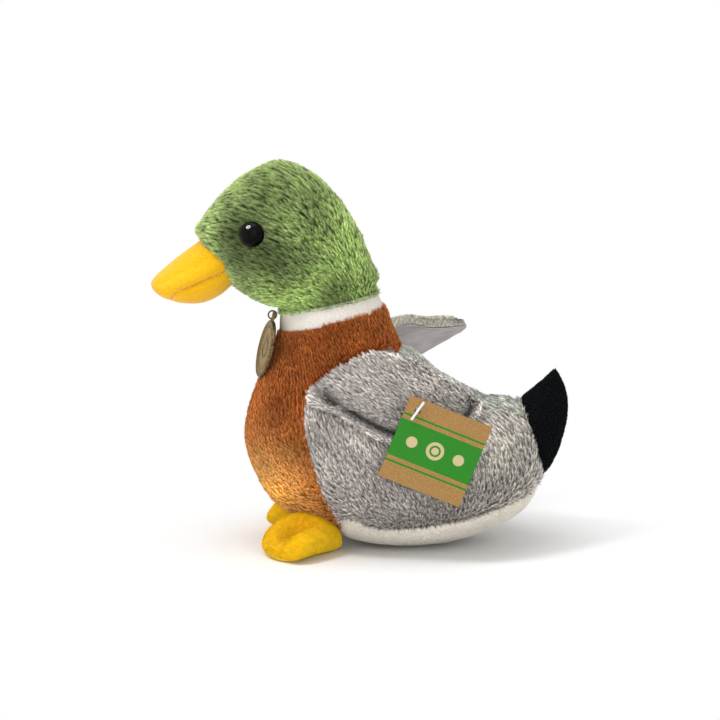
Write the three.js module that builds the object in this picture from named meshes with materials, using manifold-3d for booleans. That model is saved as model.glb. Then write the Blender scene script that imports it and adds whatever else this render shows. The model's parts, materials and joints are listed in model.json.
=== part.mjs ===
// A sitting plush duck: sewn plush panels over stuffing, set out in millimetres with +Z up.
// The duck faces -Y, its left side is +X, and the origin lies on the floor under the belly.
import * as THREE from 'three';
import { mergeVertices } from 'three/addons/utils/BufferGeometryUtils.js';
import Module from 'manifold-3d';

const wasm = await Module();
wasm.setup();

// Driving dimensions of the stuffed forms
const TORSO_LENGTH = 155;
const TORSO_HEIGHT = 115;
const TORSO_WIDTH = 100;
const HEAD_LENGTH = 87;
const HEAD_HEIGHT = 70;
const HEAD_WIDTH = 69;
const BEAK_LENGTH = 32.5;
const BEAK_HEIGHT = 27;
const BEAK_WIDTH = 34;
const COLLAR_HEIGHT = 10.6;
const COLLAR_TUCK_DEPTH = 2.5;
const NECK_SEAT_DEPTH = 38;

// Cloth, filling and the gaps between sewn pieces
const PLUSH = 1.8;
const SEAM_GAP = 0.3;
const REST_CUT = 0.5;
const OVERRUN = 20;
const BACK_STRIP_WIDTH = 36;
const PELLET_BAG_HEIGHT = 22;
const PELLET_BAG_LENGTH = 78;

// Eyes: a dome on a shank, held by a washer inside the head
const EYE_DIAMETER = 12;
const EYE_DOME_HEIGHT = 5;
const EYE_SHANK_DIAMETER = 4;
const EYE_SHANK_LENGTH = 9;
const EYE_WASHER_DIAMETER = 13;
const EYE_WASHER_THICKNESS = 1.6;
const EYE_LIFT = 0.3;
const EYE_CLEARANCE = 0.4;

// Wings: a lining, a thin filling and a plush cover, sewn in along the front edge
const WING_LINING = 1.2;
const WING_FILL = 4.5;
const WING_UNDER_GAP = 0.95;
const WING_FILL_GAP = 0.8;
const WING_HINGE_LIFT = 3.4;
const LEFT_WING_ANGLE = 0;
const RIGHT_WING_ANGLE = 19;
const RIGHT_WING_RAISE_ANGLE = 15;
const RIGHT_WING_ROLL_RADIUS = 122;
const RIGHT_WING_STANDOFF = 2;

// Feet: a flat sole under a puffed upper
const FOOT_LENGTH = 34;
const FOOT_WIDTH = 32;
const FOOT_HEIGHT = 21;
const FOOT_SPLAY_ANGLE = 38;
const FOOT_SPREAD = 36;
const FOOT_SOLE = 2;

// Swing tag: a square card on a plastic fastener
const CARD_SIZE = 40;
const CARD_THICKNESS = 0.6;
const CARD_ANGLE = 22;
const CARD_HOLE_DIAMETER = 3;
const CARD_HOLE_INSET = 5.5;
const FASTENER_BAR_LENGTH = 10;
const FASTENER_BAR_DIAMETER = 1.2;
const FASTENER_THREAD_DIAMETER = 0.9;
const FASTENER_BAR_ANGLE = 55;
const CARD_STANDOFF = 1.5;

// Medallion: a pressed disc on a thread ring below the head seam
const MEDALLION_DIAMETER = 28;
const MEDALLION_THICKNESS = 1.6;
const MEDALLION_RIM = 2.2;
const MEDALLION_RELIEF = 0.5;
const MEDALLION_TAB_WIDTH = 4.6;
const MEDALLION_TAB_HEIGHT = 4;
const MEDALLION_TAB_THICKNESS = 0.8;
const MEDALLION_EYELET = 2.6;
const MEDALLION_RING = 4.8;
const MEDALLION_THREAD = 0.8;
const MEDALLION_ANGLE = 14;
const MEDALLION_STANDOFF = 2.4;
const MEDALLION_DROP = 1.8;

// Facets of the round forms
const RING_POINTS = 22;
const SMALL_RING_POINTS = 16;
const TORSO_STEPS = 18;
const HEAD_STEPS = 13;
const BEAK_STEPS = 9;
const FOOT_STEPS = 9;
const WING_POINTS = 22;
const WING_RINGS = 4;
const BALL_FACETS = 40;
const COLLAR_STEPS = 3;
const ROD_FACETS = 10;
const THREAD_FACETS = 8;
const THREAD_RING_FACETS = 14;

// Sections of the torso from the neck round to the tail tip. Each row holds the front or lower end of
// the section, its back or upper end, and its half width, as shares of length, height and half width.
const TORSO_SHARES = [
  [-0.405, 1.018, -0.060, 1.112, 0.54],
  [-0.387, 0.899, -0.042, 0.993, 0.54],
  [-0.439, 0.720, 0.008, 0.856, 0.66],
  [-0.481, 0.539, 0.065, 0.791, 0.84],
  [-0.480, 0.403, 0.114, 0.733, 0.93],
  [-0.424, 0.229, 0.174, 0.687, 0.98],
  [-0.348, 0.138, 0.226, 0.652, 1.00],
  [-0.206, 0.048, 0.271, 0.630, 1.00],
  [-0.070, 0.000, 0.310, 0.622, 0.97],
  [0.097, 0.000, 0.332, 0.619, 0.91],
  [0.258, 0.057, 0.345, 0.619, 0.80],
  [0.374, 0.143, 0.355, 0.619, 0.69],
  [0.446, 0.287, 0.361, 0.621, 0.58],
  [0.481, 0.374, 0.384, 0.639, 0.48],
  [0.503, 0.461, 0.413, 0.670, 0.38],
  [0.516, 0.548, 0.439, 0.700, 0.28],
  [0.513, 0.635, 0.458, 0.726, 0.17],
  [0.487, 0.722, 0.471, 0.739, 0.06],
];

// Row of the torso table that lies on the lower edge of the collar
const COLLAR_ROW = 1;

// Sections of the head, from inside the collar round to the forehead, from the collar's upper centre
const HEAD_SHARES = [
  [-0.255, -0.196, 0.297, -0.056, 0.74],
  [-0.276, -0.070, 0.276, 0.070, 0.74],
  [-0.336, -0.034, 0.282, 0.161, 0.81],
  [-0.399, -0.003, 0.233, 0.311, 0.90],
  [-0.451, 0.030, 0.176, 0.476, 0.96],
  [-0.491, 0.061, 0.072, 0.683, 1.00],
  [-0.520, 0.094, -0.077, 0.869, 0.985],
  [-0.560, 0.160, -0.255, 0.969, 0.93],
  [-0.594, 0.226, -0.422, 0.897, 0.83],
  [-0.627, 0.283, -0.560, 0.776, 0.70],
  [-0.663, 0.340, -0.646, 0.654, 0.52],
  [-0.695, 0.404, -0.701, 0.540, 0.32],
  [-0.711, 0.447, -0.715, 0.497, 0.14],
];

// Place of the beak's root on the head, and the beak's sections from there to its tip
const BEAK_ROOT_SHARE = [-0.606, 0.269];
const BEAK_SHARES = [
  [0.412, -0.260, 0.118, 0.444, 0.76],
  [0.235, -0.444, -0.147, 0.426, 0.88],
  [0.030, -0.648, -0.353, 0.260, 0.96],
  [-0.235, -0.778, -0.559, 0.085, 1.00],
  [-0.559, -0.770, -0.765, -0.119, 0.96],
  [-0.779, -0.678, -0.897, -0.260, 0.79],
  [-0.912, -0.556, -0.965, -0.360, 0.47],
  [-0.959, -0.481, -0.976, -0.415, 0.18],
];
const MOUTH_SHARES = [[0.60, 0.05], [0.13, -0.19], [-0.12, -0.31], [-0.32, -0.41], [-0.53, -0.54],
  [-0.68, -0.74], [-0.72, -1.10]];

// Seams of the torso in side view, as shares of its length and height
const BREAST_SEAM_SHARES = [[0.020, 0.895], [-0.040, 0.845], [-0.105, 0.830], [-0.200, 0.765],
  [-0.275, 0.706], [-0.297, 0.636], [-0.297, 0.542], [-0.269, 0.379], [-0.238, 0.249],
  [-0.200, 0.143], [-0.190, 0.050]];
const BELLY_SEAM_SHARES = [[-0.194, -0.1], [-0.194, 0.125], [-0.070, 0.120], [0.065, 0.133],
  [0.250, 0.183], [0.378, 0.239], [0.445, 0.305]];
const TAIL_SEAM_SHARES = [[0.361, 0.640], [0.446, 0.285]];
const PELLET_BAG_SHARE = 0.06;

// Outline of a wing on the torso: torso row, and angle round that section from the back's ridge
const WING_SHARES = [[2.42, 105], [1.95, 60], [2.75, 33], [4.0, 25], [5.3, 23], [6.6, 24], [7.0, 33],
  [7.05, 46], [6.7, 60], [6.0, 69], [5.1, 72], [3.6, 86]];
const WING_CENTRE_SHARE = [4.75, 52];
const WING_FILL_SHARE = 0.8;
const WING_HINGE_SHARES = [[2.30, 105], [1.80, 60]];

// Sections of a foot from the heel to the toes, the heel's place on the torso, and the hinge line behind it
const FOOT_SHARES = [
  [0.06, 0.04, 0.06, 0.34, 0.26],
  [-0.06, 0, -0.04, 0.72, 0.50],
  [-0.30, 0, -0.27, 0.98, 0.74],
  [-0.58, 0, -0.56, 1.00, 0.93],
  [-0.80, 0, -0.79, 0.82, 1.00],
  [-0.94, 0, -0.93, 0.58, 0.88],
  [-1.01, 0.10, -1.01, 0.32, 0.50],
];
const FOOT_HEEL_SHARE = -0.212;
const FOOT_HINGE_SHARES = [0.10, 0.08];

// Row of the torso on which the medallion's lower edge leans
const MEDALLION_REST_SHARE = 2.1;

// Places of the eye on the head and of the card's hole on the torso, in side view, and a row near each
const EYE_SHARE = [-0.396, 0.479];
const EYE_NEAR_ROW = 6;
const CARD_HOLE_SHARE = [0.023, 0.600];
const CARD_NEAR_ROW = 4.5;

const COLOURS = {
  head: 0x5f8244,
  collar: 0xe6e0d8,
  breast: 0xb0602a,
  side: 0xa9a3a0,
  back: 0xa2a59c,
  belly: 0xe6e2d6,
  tail: 0x0b0c0d,
  lining: 0xa7a0a6,
  beak: 0xf6b816,
  eye: 0x060606,
  stuffing: 0xf4f4f0,
  pellet: 0xd8d4c6,
  washer: 0xf2f2f2,
  card: 0xc49a5e,
  fastener: 0xf5f5f5,
  medallion: 0x9a8560,
  thread: 0x8a6a45,
};

const radians = THREE.MathUtils.degToRad;

// A value between the numbers of a list, on a Catmull-Rom curve
function between(values, place) {
  const last = values.length - 1;
  const start = Math.min(Math.floor(place), last - 1);
  const [before, from, to, after] = [start - 1, start, start + 1, start + 2]
    .map((index) => values[THREE.MathUtils.clamp(index, 0, last)]);
  const t = place - start;
  const bend = 3 * (from - to) + after - before;
  const swing = 2 * before - 5 * from + 4 * to - after;
  return from + 0.5 * t * (to - before + t * (swing + t * bend));
}

// Section rows in millimetres from a table of shares
function sized(shares, length, height, halfWidth, originY = 0, originZ = 0) {
  return shares.map(([frontY, frontZ, backY, backZ, width]) => [
    originY + frontY * length,
    originZ + frontZ * height,
    originY + backY * length,
    originZ + backZ * height,
    width * halfWidth,
  ]);
}

// Rows drawn in by a thickness, or let out by a negative one
function drawnIn(rows, thickness) {
  const inner = rows.map(([frontY, frontZ, backY, backZ, half]) => {
    const span = Math.hypot(backY - frontY, backZ - frontZ);
    const stepY = (thickness * (backY - frontY)) / span;
    const stepZ = (thickness * (backZ - frontZ)) / span;
    return [frontY + stepY, frontZ + stepZ, backY - stepY, backZ - stepZ, half - thickness];
  });
  const slimmest = 2 * PLUSH;
  return inner.filter((row, index) =>
    thickness <= 0 || Math.min(rows[index][4], spanOf(rows[index]) / 2) > slimmest);
}

function spanOf([frontY, frontZ, backY, backZ]) {
  return Math.hypot(backY - frontY, backZ - frontZ);
}

// Rows with one more in front of the first, so that a hollow runs out through its mouth
function openMouthed(rows) {
  const [first, second] = rows;
  const mouthShare = 0.4;
  return [first.map((value, index) => value + mouthShare * (value - second[index])), ...rows];
}

// A point of a lofted form: place along its rows, and angle round the section from its upper end
function loftPoint(rows, place, angle) {
  const [frontY, frontZ, backY, backZ, half] = rows[0].map((_, column) =>
    between(rows.map((row) => row[column]), place));
  const along = Math.cos(angle);
  return new THREE.Vector3(
    half * Math.sin(angle),
    (frontY + backY) / 2 + (along * (backY - frontY)) / 2,
    (frontZ + backZ) / 2 + (along * (backZ - frontZ)) / 2,
  );
}

function geometryFrom(points, faces) {
  const geometry = new THREE.BufferGeometry();
  geometry.setAttribute('position', new THREE.Float32BufferAttribute(points.flatMap((p) => p.toArray()), 3));
  geometry.setIndex(facingOut(points, faces).flat());
  return geometry;
}

// Faces turned so that the form's volume is positive
function facingOut(points, faces) {
  const volume = faces.reduce((sum, [a, b, c]) =>
    sum + points[a].dot(new THREE.Vector3().crossVectors(points[b], points[c])), 0);
  return volume > 0 ? faces : faces.map(([a, b, c]) => [a, c, b]);
}

// Faces of stacked rings, split along each quad's shorter diagonal, with a fan at each end
function ringFaces(points, rings, count) {
  const faces = [];
  for (let ring = 0; ring < rings - 1; ring += 1) {
    for (let point = 0; point < count; point += 1) {
      const next = (point + 1) % count;
      const [a, b] = [ring * count + point, ring * count + next];
      const [c, d] = [b + count, a + count];
      if (points[a].distanceToSquared(points[c]) < points[b].distanceToSquared(points[d])) {
        faces.push([a, b, c], [a, c, d]);
      } else {
        faces.push([a, b, d], [b, c, d]);
      }
    }
  }
  const firstCentre = rings * count;
  const lastRing = (rings - 1) * count;
  for (let point = 0; point < count; point += 1) {
    const next = (point + 1) % count;
    faces.push([firstCentre, next, point], [firstCentre + 1, lastRing + point, lastRing + next]);
  }
  return faces;
}

// The closed form through all rows of a table
function loft(rows, steps, count = RING_POINTS) {
  const points = [];
  for (let step = 0; step <= steps; step += 1) {
    const place = (step / steps) * (rows.length - 1);
    for (let point = 0; point < count; point += 1) {
      points.push(loftPoint(rows, place, (2 * Math.PI * point) / count));
    }
  }
  for (const place of [0, rows.length - 1]) {
    const middle = loftPoint(rows, place, 0).add(loftPoint(rows, place, Math.PI));
    points.push(middle.multiplyScalar(0.5));
  }
  return geometryFrom(points, ringFaces(points, steps + 1, count));
}

// Place along the rows whose section passes through a point of the side view
function placeThrough(rows, y, z, nearPlace) {
  const offset = (place) => {
    const [top, bottom] = [loftPoint(rows, place, 0), loftPoint(rows, place, Math.PI)];
    return (top.y - bottom.y) * (z - bottom.z) - (top.z - bottom.z) * (y - bottom.y);
  };
  const [reach, rounds] = [2.5, 40];
  let [low, high] = [nearPlace - reach, nearPlace + reach];
  for (let round = 0; round < rounds; round += 1) {
    const middle = (low + high) / 2;
    if (offset(low) * offset(middle) <= 0) {
      high = middle;
    } else {
      low = middle;
    }
  }
  return (low + high) / 2;
}

// Point of the form's left surface over a point of the side view, and the normal there
function surfaceOver(rows, y, z, nearPlace) {
  const place = placeThrough(rows, y, z, nearPlace);
  const [top, bottom] = [loftPoint(rows, place, 0), loftPoint(rows, place, Math.PI)];
  const along = ((y - bottom.y) * (top.y - bottom.y) + (z - bottom.z) * (top.z - bottom.z))
    / bottom.distanceToSquared(top);
  const angle = Math.acos(2 * along - 1);
  return { point: loftPoint(rows, place, angle), normal: loftNormal(rows, place, angle) };
}

function loftNormal(rows, place, angle) {
  const stepShare = 0.01;
  const along = loftPoint(rows, place + stepShare, angle).sub(loftPoint(rows, place - stepShare, angle));
  const round = loftPoint(rows, place, angle + stepShare).sub(loftPoint(rows, place, angle - stepShare));
  const normal = along.cross(round).normalize();
  return normal.x * Math.sin(angle) < 0 ? normal.negate() : normal;
}

function solid(geometry) {
  const plain = geometry.clone();
  plain.deleteAttribute('normal');
  plain.deleteAttribute('uv');
  const merged = mergeVertices(plain);
  return new wasm.Manifold(new wasm.Mesh({
    numProp: 3,
    vertProperties: new Float32Array(merged.attributes.position.array),
    triVerts: new Uint32Array(merged.index.array),
  }));
}

function geometryOf(body) {
  const mesh = body.getMesh();
  const geometry = new THREE.BufferGeometry();
  geometry.setAttribute('position', new THREE.BufferAttribute(new Float32Array(mesh.vertProperties), 3));
  geometry.setIndex(new THREE.BufferAttribute(new Uint32Array(mesh.triVerts), 1));
  return geometry;
}

// A block across the whole form whose side view is the given outline
function sideBlock(outline, halfWidth) {
  const shape = new THREE.Shape(outline.map(([y, z]) => new THREE.Vector2(y, z)));
  const block = new THREE.ExtrudeGeometry(shape, { depth: 2 * halfWidth, bevelEnabled: false });
  const [across, forward, upward] = [
    new THREE.Vector3(1, 0, 0), new THREE.Vector3(0, 1, 0), new THREE.Vector3(0, 0, 1)];
  block.applyMatrix4(new THREE.Matrix4().makeBasis(forward, upward, across));
  return block.translate(-halfWidth, 0, 0);
}

// A seam line moved sideways, so that the block behind it grows by that much
function movedLine(line, distance) {
  return line.map(([y, z], index) => {
    const [beforeY, beforeZ] = line[Math.max(index - 1, 0)];
    const [afterY, afterZ] = line[Math.min(index + 1, line.length - 1)];
    const length = Math.hypot(afterY - beforeY, afterZ - beforeZ);
    return [y - (distance * (afterZ - beforeZ)) / length, z + (distance * (afterY - beforeY)) / length];
  });
}

function torsoLine(shares) {
  return shares.map(([y, z]) => [y * TORSO_LENGTH, z * TORSO_HEIGHT]);
}

function box(low, high) {
  const size = high.map((value, index) => value - low[index]);
  const centre = high.map((value, index) => (value + low[index]) / 2);
  return solid(new THREE.BoxGeometry(...size).translate(...centre));
}

// A turned form whose axis starts at a point and runs along a direction
function turned(profile, start, direction, count = SMALL_RING_POINTS) {
  const points = profile.map(([radius, height]) => new THREE.Vector2(radius, height));
  const form = new THREE.LatheGeometry(points, count);
  const turn = new THREE.Quaternion().setFromUnitVectors(new THREE.Vector3(0, 1, 0), direction);
  return form.applyQuaternion(turn).translate(...start.toArray());
}

function rod(start, end, diameter, count = ROD_FACETS) {
  const length = start.distanceTo(end);
  const radius = diameter / 2;
  const direction = end.clone().sub(start).normalize();
  return turned([[0, 0], [radius, 0], [radius, length], [0, length]], start, direction, count);
}

const mirrored = (geometry) => {
  const copy = geometry.clone().scale(-1, 1, 1);
  const index = Array.from(copy.index.array);
  for (let corner = 0; corner < index.length; corner += 3) {
    [index[corner], index[corner + 1]] = [index[corner + 1], index[corner]];
  }
  return copy.setIndex(index);
};

function mesh(name, geometry, colour, roughness = 0.95, metalness = 0) {
  const shown = geometry.index ? geometry.toNonIndexed() : geometry;
  shown.computeVertexNormals();
  const material = new THREE.MeshStandardMaterial({ color: colour, roughness, metalness });
  const piece = new THREE.Mesh(shown, material);
  piece.name = name;
  return piece;
}

// A group that turns about its own X axis, which lies on the hinge line
function hinged(name, origin, axis, angle, pieces) {
  const pivot = new THREE.Group();
  pivot.name = name;
  pivot.position.copy(origin);
  pivot.quaternion.setFromUnitVectors(new THREE.Vector3(1, 0, 0), axis.clone().normalize());
  pivot.updateMatrix();
  const home = pivot.matrix.clone().invert();
  for (const piece of pieces) {
    piece.geometry.applyMatrix4(home);
    pivot.add(piece);
  }
  pivot.rotateX(radians(angle));
  return pivot;
}

// Main forms
const halfTorso = TORSO_WIDTH / 2;
const torsoRows = sized(TORSO_SHARES, TORSO_LENGTH, TORSO_HEIGHT, halfTorso, 0, -REST_CUT);
const stuffingInset = PLUSH + SEAM_GAP;
const [collarFrontY, collarFrontZ, collarBackY, collarBackZ, collarHalf] = torsoRows[COLLAR_ROW];
const collarLow = new THREE.Vector3(0, (collarFrontY + collarBackY) / 2, (collarFrontZ + collarBackZ) / 2);
const neckAxis = new THREE.Vector3(0, collarFrontZ - collarBackZ, collarBackY - collarFrontY).normalize();
const collarTop = collarLow.clone().addScaledVector(neckAxis, COLLAR_HEIGHT);
const neckCentre = collarLow.clone().addScaledVector(neckAxis, -NECK_SEAT_DEPTH);
const headRows = sized(HEAD_SHARES, HEAD_LENGTH, HEAD_HEIGHT, HEAD_WIDTH / 2, collarTop.y, collarTop.z);
const neckRadius = Math.hypot(Math.max(collarHalf, spanOf(torsoRows[COLLAR_ROW]) / 2), NECK_SEAT_DEPTH);
const headSeatRadius = Math.hypot(headRows[1][4], NECK_SEAT_DEPTH + COLLAR_HEIGHT);

function ball(radius) {
  const sphere = new THREE.SphereGeometry(radius, BALL_FACETS, BALL_FACETS / 2);
  return solid(sphere.rotateX(Math.PI / 2).translate(...neckCentre.toArray()));
}

// Everything beyond the collar's lower edge that lies outside the ball on which the neck nods
function neckCutter(radius) {
  const [tuckY, tuckZ] = [COLLAR_TUCK_DEPTH * neckAxis.y, COLLAR_TUCK_DEPTH * neckAxis.z];
  const edge = [[collarFrontY - tuckY, collarFrontZ - tuckZ], [collarBackY - tuckY, collarBackZ - tuckZ]];
  const [stepY, stepZ] = [collarBackY - collarFrontY, collarBackZ - collarFrontZ];
  const outline = [
    [edge[0][0] - stepY, edge[0][1] - stepZ],
    [edge[1][0] + stepY, edge[1][1] + stepZ],
    [edge[1][0] + stepY + neckAxis.y * TORSO_HEIGHT, edge[1][1] + stepZ + neckAxis.z * TORSO_HEIGHT],
    [edge[0][0] - stepY + neckAxis.y * TORSO_HEIGHT, edge[0][1] - stepZ + neckAxis.z * TORSO_HEIGHT],
  ];
  return solid(sideBlock(outline, TORSO_WIDTH)).subtract(ball(radius));
}

function torsoForm(inset) {
  const rows = inset > 0 ? openMouthed(drawnIn(torsoRows, inset)) : drawnIn(torsoRows, inset);
  const floor = box([-TORSO_WIDTH, -TORSO_LENGTH, -OVERRUN], [TORSO_WIDTH, TORSO_LENGTH, Math.max(inset, 0)]);
  return solid(loft(rows, TORSO_STEPS)).subtract(floor);
}

function headForm(inset) {
  const rows = inset > 0 ? openMouthed(drawnIn(headRows, inset)) : drawnIn(headRows, inset);
  return solid(loft(rows, HEAD_STEPS));
}

// Side-view blocks behind each torso seam, each let out by a gap when it cuts its neighbours
function tailBlock(gap) {
  const [top, bottom] = movedLine(torsoLine(TAIL_SEAM_SHARES), -gap);
  const [stepY, stepZ] = [bottom[0] - top[0], bottom[1] - top[1]];
  const start = [top[0] - stepY, top[1] - stepZ];
  const end = [bottom[0] + stepY / 2, bottom[1] + stepZ / 2];
  return sideBlock([start, end, [TORSO_LENGTH, end[1]], [TORSO_LENGTH, start[1]]], halfTorso);
}

function bellyBlock(gap) {
  const seam = movedLine(torsoLine(BELLY_SEAM_SHARES), gap);
  return sideBlock([...seam, [TORSO_LENGTH, seam.at(-1)[1]], [TORSO_LENGTH, -OVERRUN], [seam[0][0], -OVERRUN]],
    TORSO_WIDTH);
}

function breastBlock(gap) {
  const seam = movedLine(torsoLine(BREAST_SEAM_SHARES), gap);
  const [top, bottom] = [seam[0], seam.at(-1)];
  const lifted = [top[0] - neckAxis.y * TORSO_HEIGHT, top[1] + neckAxis.z * TORSO_HEIGHT];
  return sideBlock([lifted, ...seam, [bottom[0], -OVERRUN], [-TORSO_LENGTH, -OVERRUN],
    [-TORSO_LENGTH, lifted[1]]], TORSO_WIDTH);
}

function backBlock(gap) {
  const half = BACK_STRIP_WIDTH / 2 + gap;
  return box([-half, -TORSO_LENGTH, TORSO_HEIGHT / 2], [half, TORSO_LENGTH, 2 * TORSO_HEIGHT]);
}

// Sewn panels and filling of the torso
function torsoPieces() {
  const neckOff = neckCutter(neckRadius - SEAM_GAP / 2);
  const shell = torsoForm(0).subtract(torsoForm(PLUSH)).subtract(neckOff);
  const [tail, tailGap] = [0, SEAM_GAP].map((gap) => solid(tailBlock(gap)));
  const [belly, bellyGap] = [0, SEAM_GAP].map((gap) => solid(bellyBlock(gap)));
  const [breast, breastGap] = [0, SEAM_GAP].map((gap) => solid(breastBlock(gap)));
  const [back, backGap] = [0, SEAM_GAP].map((gap) => backBlock(gap));
  const beforeTail = shell.subtract(tailGap);
  const aboveBelly = beforeTail.subtract(bellyGap);
  const behindBreast = aboveBelly.subtract(breastGap);
  const sides = behindBreast.subtract(backGap);
  const rightHalf = box([-TORSO_WIDTH, -TORSO_LENGTH, -OVERRUN], [0, TORSO_LENGTH, 2 * TORSO_HEIGHT]);
  const filling = torsoForm(stuffingInset).subtract(neckOff);
  const bagStart = PELLET_BAG_SHARE * TORSO_LENGTH - PELLET_BAG_LENGTH / 2;
  const bagBox = (gap) => box(
    [-TORSO_WIDTH, bagStart - gap, -OVERRUN],
    [TORSO_WIDTH, bagStart + PELLET_BAG_LENGTH + gap, PELLET_BAG_HEIGHT + gap]);
  return [
    mesh('breast_panel', geometryOf(aboveBelly.intersect(breast)), COLOURS.breast),
    mesh('left_side_panel', geometryOf(sides.subtract(rightHalf)), COLOURS.side),
    mesh('right_side_panel', geometryOf(sides.intersect(rightHalf)), COLOURS.side),
    mesh('back_panel', geometryOf(behindBreast.intersect(back)), COLOURS.back),
    mesh('belly_panel', geometryOf(beforeTail.intersect(belly)), COLOURS.belly),
    mesh('tail_panel', geometryOf(shell.intersect(tail)), COLOURS.tail),
    mesh('torso_stuffing', geometryOf(filling.subtract(bagBox(SEAM_GAP))), COLOURS.stuffing),
    mesh('pellet_bag', geometryOf(filling.intersect(bagBox(0))), COLOURS.pellet),
  ];
}

// The collar band and the filling inside it, between the two balls
function neckPieces() {
  const low = torsoRows[0].map((value, index) => 2 * torsoRows[COLLAR_ROW][index] - value);
  const high = headRows[1].map((value, index) => 2 * value - torsoRows[COLLAR_ROW][index]);
  const rows = [low, torsoRows[COLLAR_ROW], headRows[1], high];
  const tube = (inset) => solid(loft(drawnIn(rows, inset), COLLAR_STEPS));
  const hollow = solid(loft(openMouthed(drawnIn(rows, PLUSH)), COLLAR_STEPS + 1));
  const betweenBalls = (form) => form.subtract(ball(neckRadius + SEAM_GAP / 2))
    .intersect(ball(headSeatRadius - SEAM_GAP / 2));
  return [
    mesh('collar_band', geometryOf(betweenBalls(tube(0).subtract(hollow))), COLOURS.collar),
    mesh('neck_stuffing', geometryOf(betweenBalls(tube(stuffingInset))), COLOURS.stuffing),
  ];
}

// Where the left eye sits, and the direction it looks in
function eyeSeat() {
  const y = collarTop.y + EYE_SHARE[0] * HEAD_LENGTH;
  const z = collarTop.z + EYE_SHARE[1] * HEAD_HEIGHT;
  return surfaceOver(headRows, y, z, EYE_NEAR_ROW);
}

function eyePieces(side) {
  const { point, normal } = eyeSeat();
  const base = point.clone().addScaledVector(normal, EYE_LIFT);
  const [dome, shank] = [EYE_DIAMETER / 2, EYE_SHANK_DIAMETER / 2];
  const profile = [[0, -EYE_SHANK_LENGTH], [shank, -EYE_SHANK_LENGTH], [shank, 0], [dome, 0]];
  const domeSteps = 6;
  for (let step = 1; step <= domeSteps; step += 1) {
    const angle = (Math.PI / 2) * (step / domeSteps);
    profile.push([step === domeSteps ? 0 : dome * Math.cos(angle), EYE_DOME_HEIGHT * Math.sin(angle)]);
  }
  const washerTop = EYE_LIFT - washerDepth();
  const [bore, rim] = [shank + SEAM_GAP, EYE_WASHER_DIAMETER / 2];
  const washer = [[bore, washerTop - EYE_WASHER_THICKNESS], [rim, washerTop - EYE_WASHER_THICKNESS],
    [rim, washerTop], [bore, washerTop], [bore, washerTop - EYE_WASHER_THICKNESS]];
  const seat = point.clone();
  const shapes = [turned(profile, base, normal), turned(washer, seat, normal)];
  const [eyeShape, washerShape] = shapes.map((shape) => (side === 'left' ? shape : mirrored(shape)));
  return [
    mesh(`${side}_eye`, eyeShape, COLOURS.eye, 0.08),
    mesh(`${side}_eye_washer`, washerShape, COLOURS.washer, 0.5),
  ];
}

// Depth of the washer's outer face below the head's surface: the cloth and its curve over the washer
function washerDepth() {
  return PLUSH + EYE_LIFT + EYE_WASHER_DIAMETER / 10;
}

// Head panels, filling and the two beak halves
function headPieces() {
  const seat = ball(headSeatRadius + SEAM_GAP / 2);
  const { point, normal } = eyeSeat();
  const drill = (depth, diameter, reach) => {
    const start = point.clone().addScaledVector(normal, -depth);
    const end = point.clone().addScaledVector(normal, reach);
    const hole = rod(start, end, diameter, SMALL_RING_POINTS);
    return solid(hole).add(solid(mirrored(hole)));
  };
  const shankHole = drill(EYE_SHANK_LENGTH + EYE_CLEARANCE, EYE_SHANK_DIAMETER + 2 * SEAM_GAP, OVERRUN);
  const washerHole = drill(washerDepth() + EYE_WASHER_THICKNESS + EYE_CLEARANCE,
    EYE_WASHER_DIAMETER + 2 * EYE_CLEARANCE, OVERRUN);
  const cap = headForm(0).subtract(headForm(PLUSH)).subtract(seat).subtract(shankHole);
  const sideBox = (gap) => box([-HEAD_WIDTH, -TORSO_LENGTH, 0], [gap, TORSO_LENGTH, 3 * TORSO_HEIGHT]);
  const filling = headForm(stuffingInset).subtract(seat).subtract(shankHole).subtract(washerHole);
  const rows = sized(BEAK_SHARES, BEAK_LENGTH, BEAK_HEIGHT, BEAK_WIDTH / 2,
    collarTop.y + BEAK_ROOT_SHARE[0] * HEAD_LENGTH, collarTop.z + BEAK_ROOT_SHARE[1] * HEAD_HEIGHT);
  const face = headForm(-SEAM_GAP);
  const bill = (inset) => {
    const shape = inset > 0 ? openMouthed(drawnIn(rows, inset)) : rows;
    return solid(loft(shape, BEAK_STEPS, SMALL_RING_POINTS));
  };
  const skin = bill(0).subtract(bill(PLUSH)).subtract(face);
  const lower = (gap) => {
    const [rootY, rootZ] = [collarTop.y + BEAK_ROOT_SHARE[0] * HEAD_LENGTH,
      collarTop.z + BEAK_ROOT_SHARE[1] * HEAD_HEIGHT];
    const mouth = MOUTH_SHARES.map(([y, z]) => [rootY + y * BEAK_LENGTH, rootZ + z * BEAK_HEIGHT]);
    const line = movedLine(mouth, -gap);
    return solid(sideBlock([...line, [line[0][0], line.at(-1)[1]]], BEAK_WIDTH));
  };
  return [
    mesh('left_head_panel', geometryOf(cap.subtract(sideBox(SEAM_GAP / 2))), COLOURS.head),
    mesh('right_head_panel', geometryOf(cap.intersect(sideBox(-SEAM_GAP / 2))), COLOURS.head),
    mesh('head_stuffing', geometryOf(filling), COLOURS.stuffing),
    mesh('beak_upper', geometryOf(skin.subtract(lower(SEAM_GAP))), COLOURS.beak),
    mesh('beak_lower', geometryOf(skin.intersect(lower(0))), COLOURS.beak),
    mesh('beak_stuffing', geometryOf(bill(stuffingInset).subtract(face)), COLOURS.stuffing),
    ...eyePieces('left'),
    ...eyePieces('right'),
  ];
}

// Layers of a wing lie over the torso's side, each between two heights above the cloth
function wingPoint(place, degrees, lift) {
  const angle = radians(degrees);
  return loftPoint(torsoRows, place, angle).addScaledVector(loftNormal(torsoRows, place, angle), lift);
}

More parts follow.
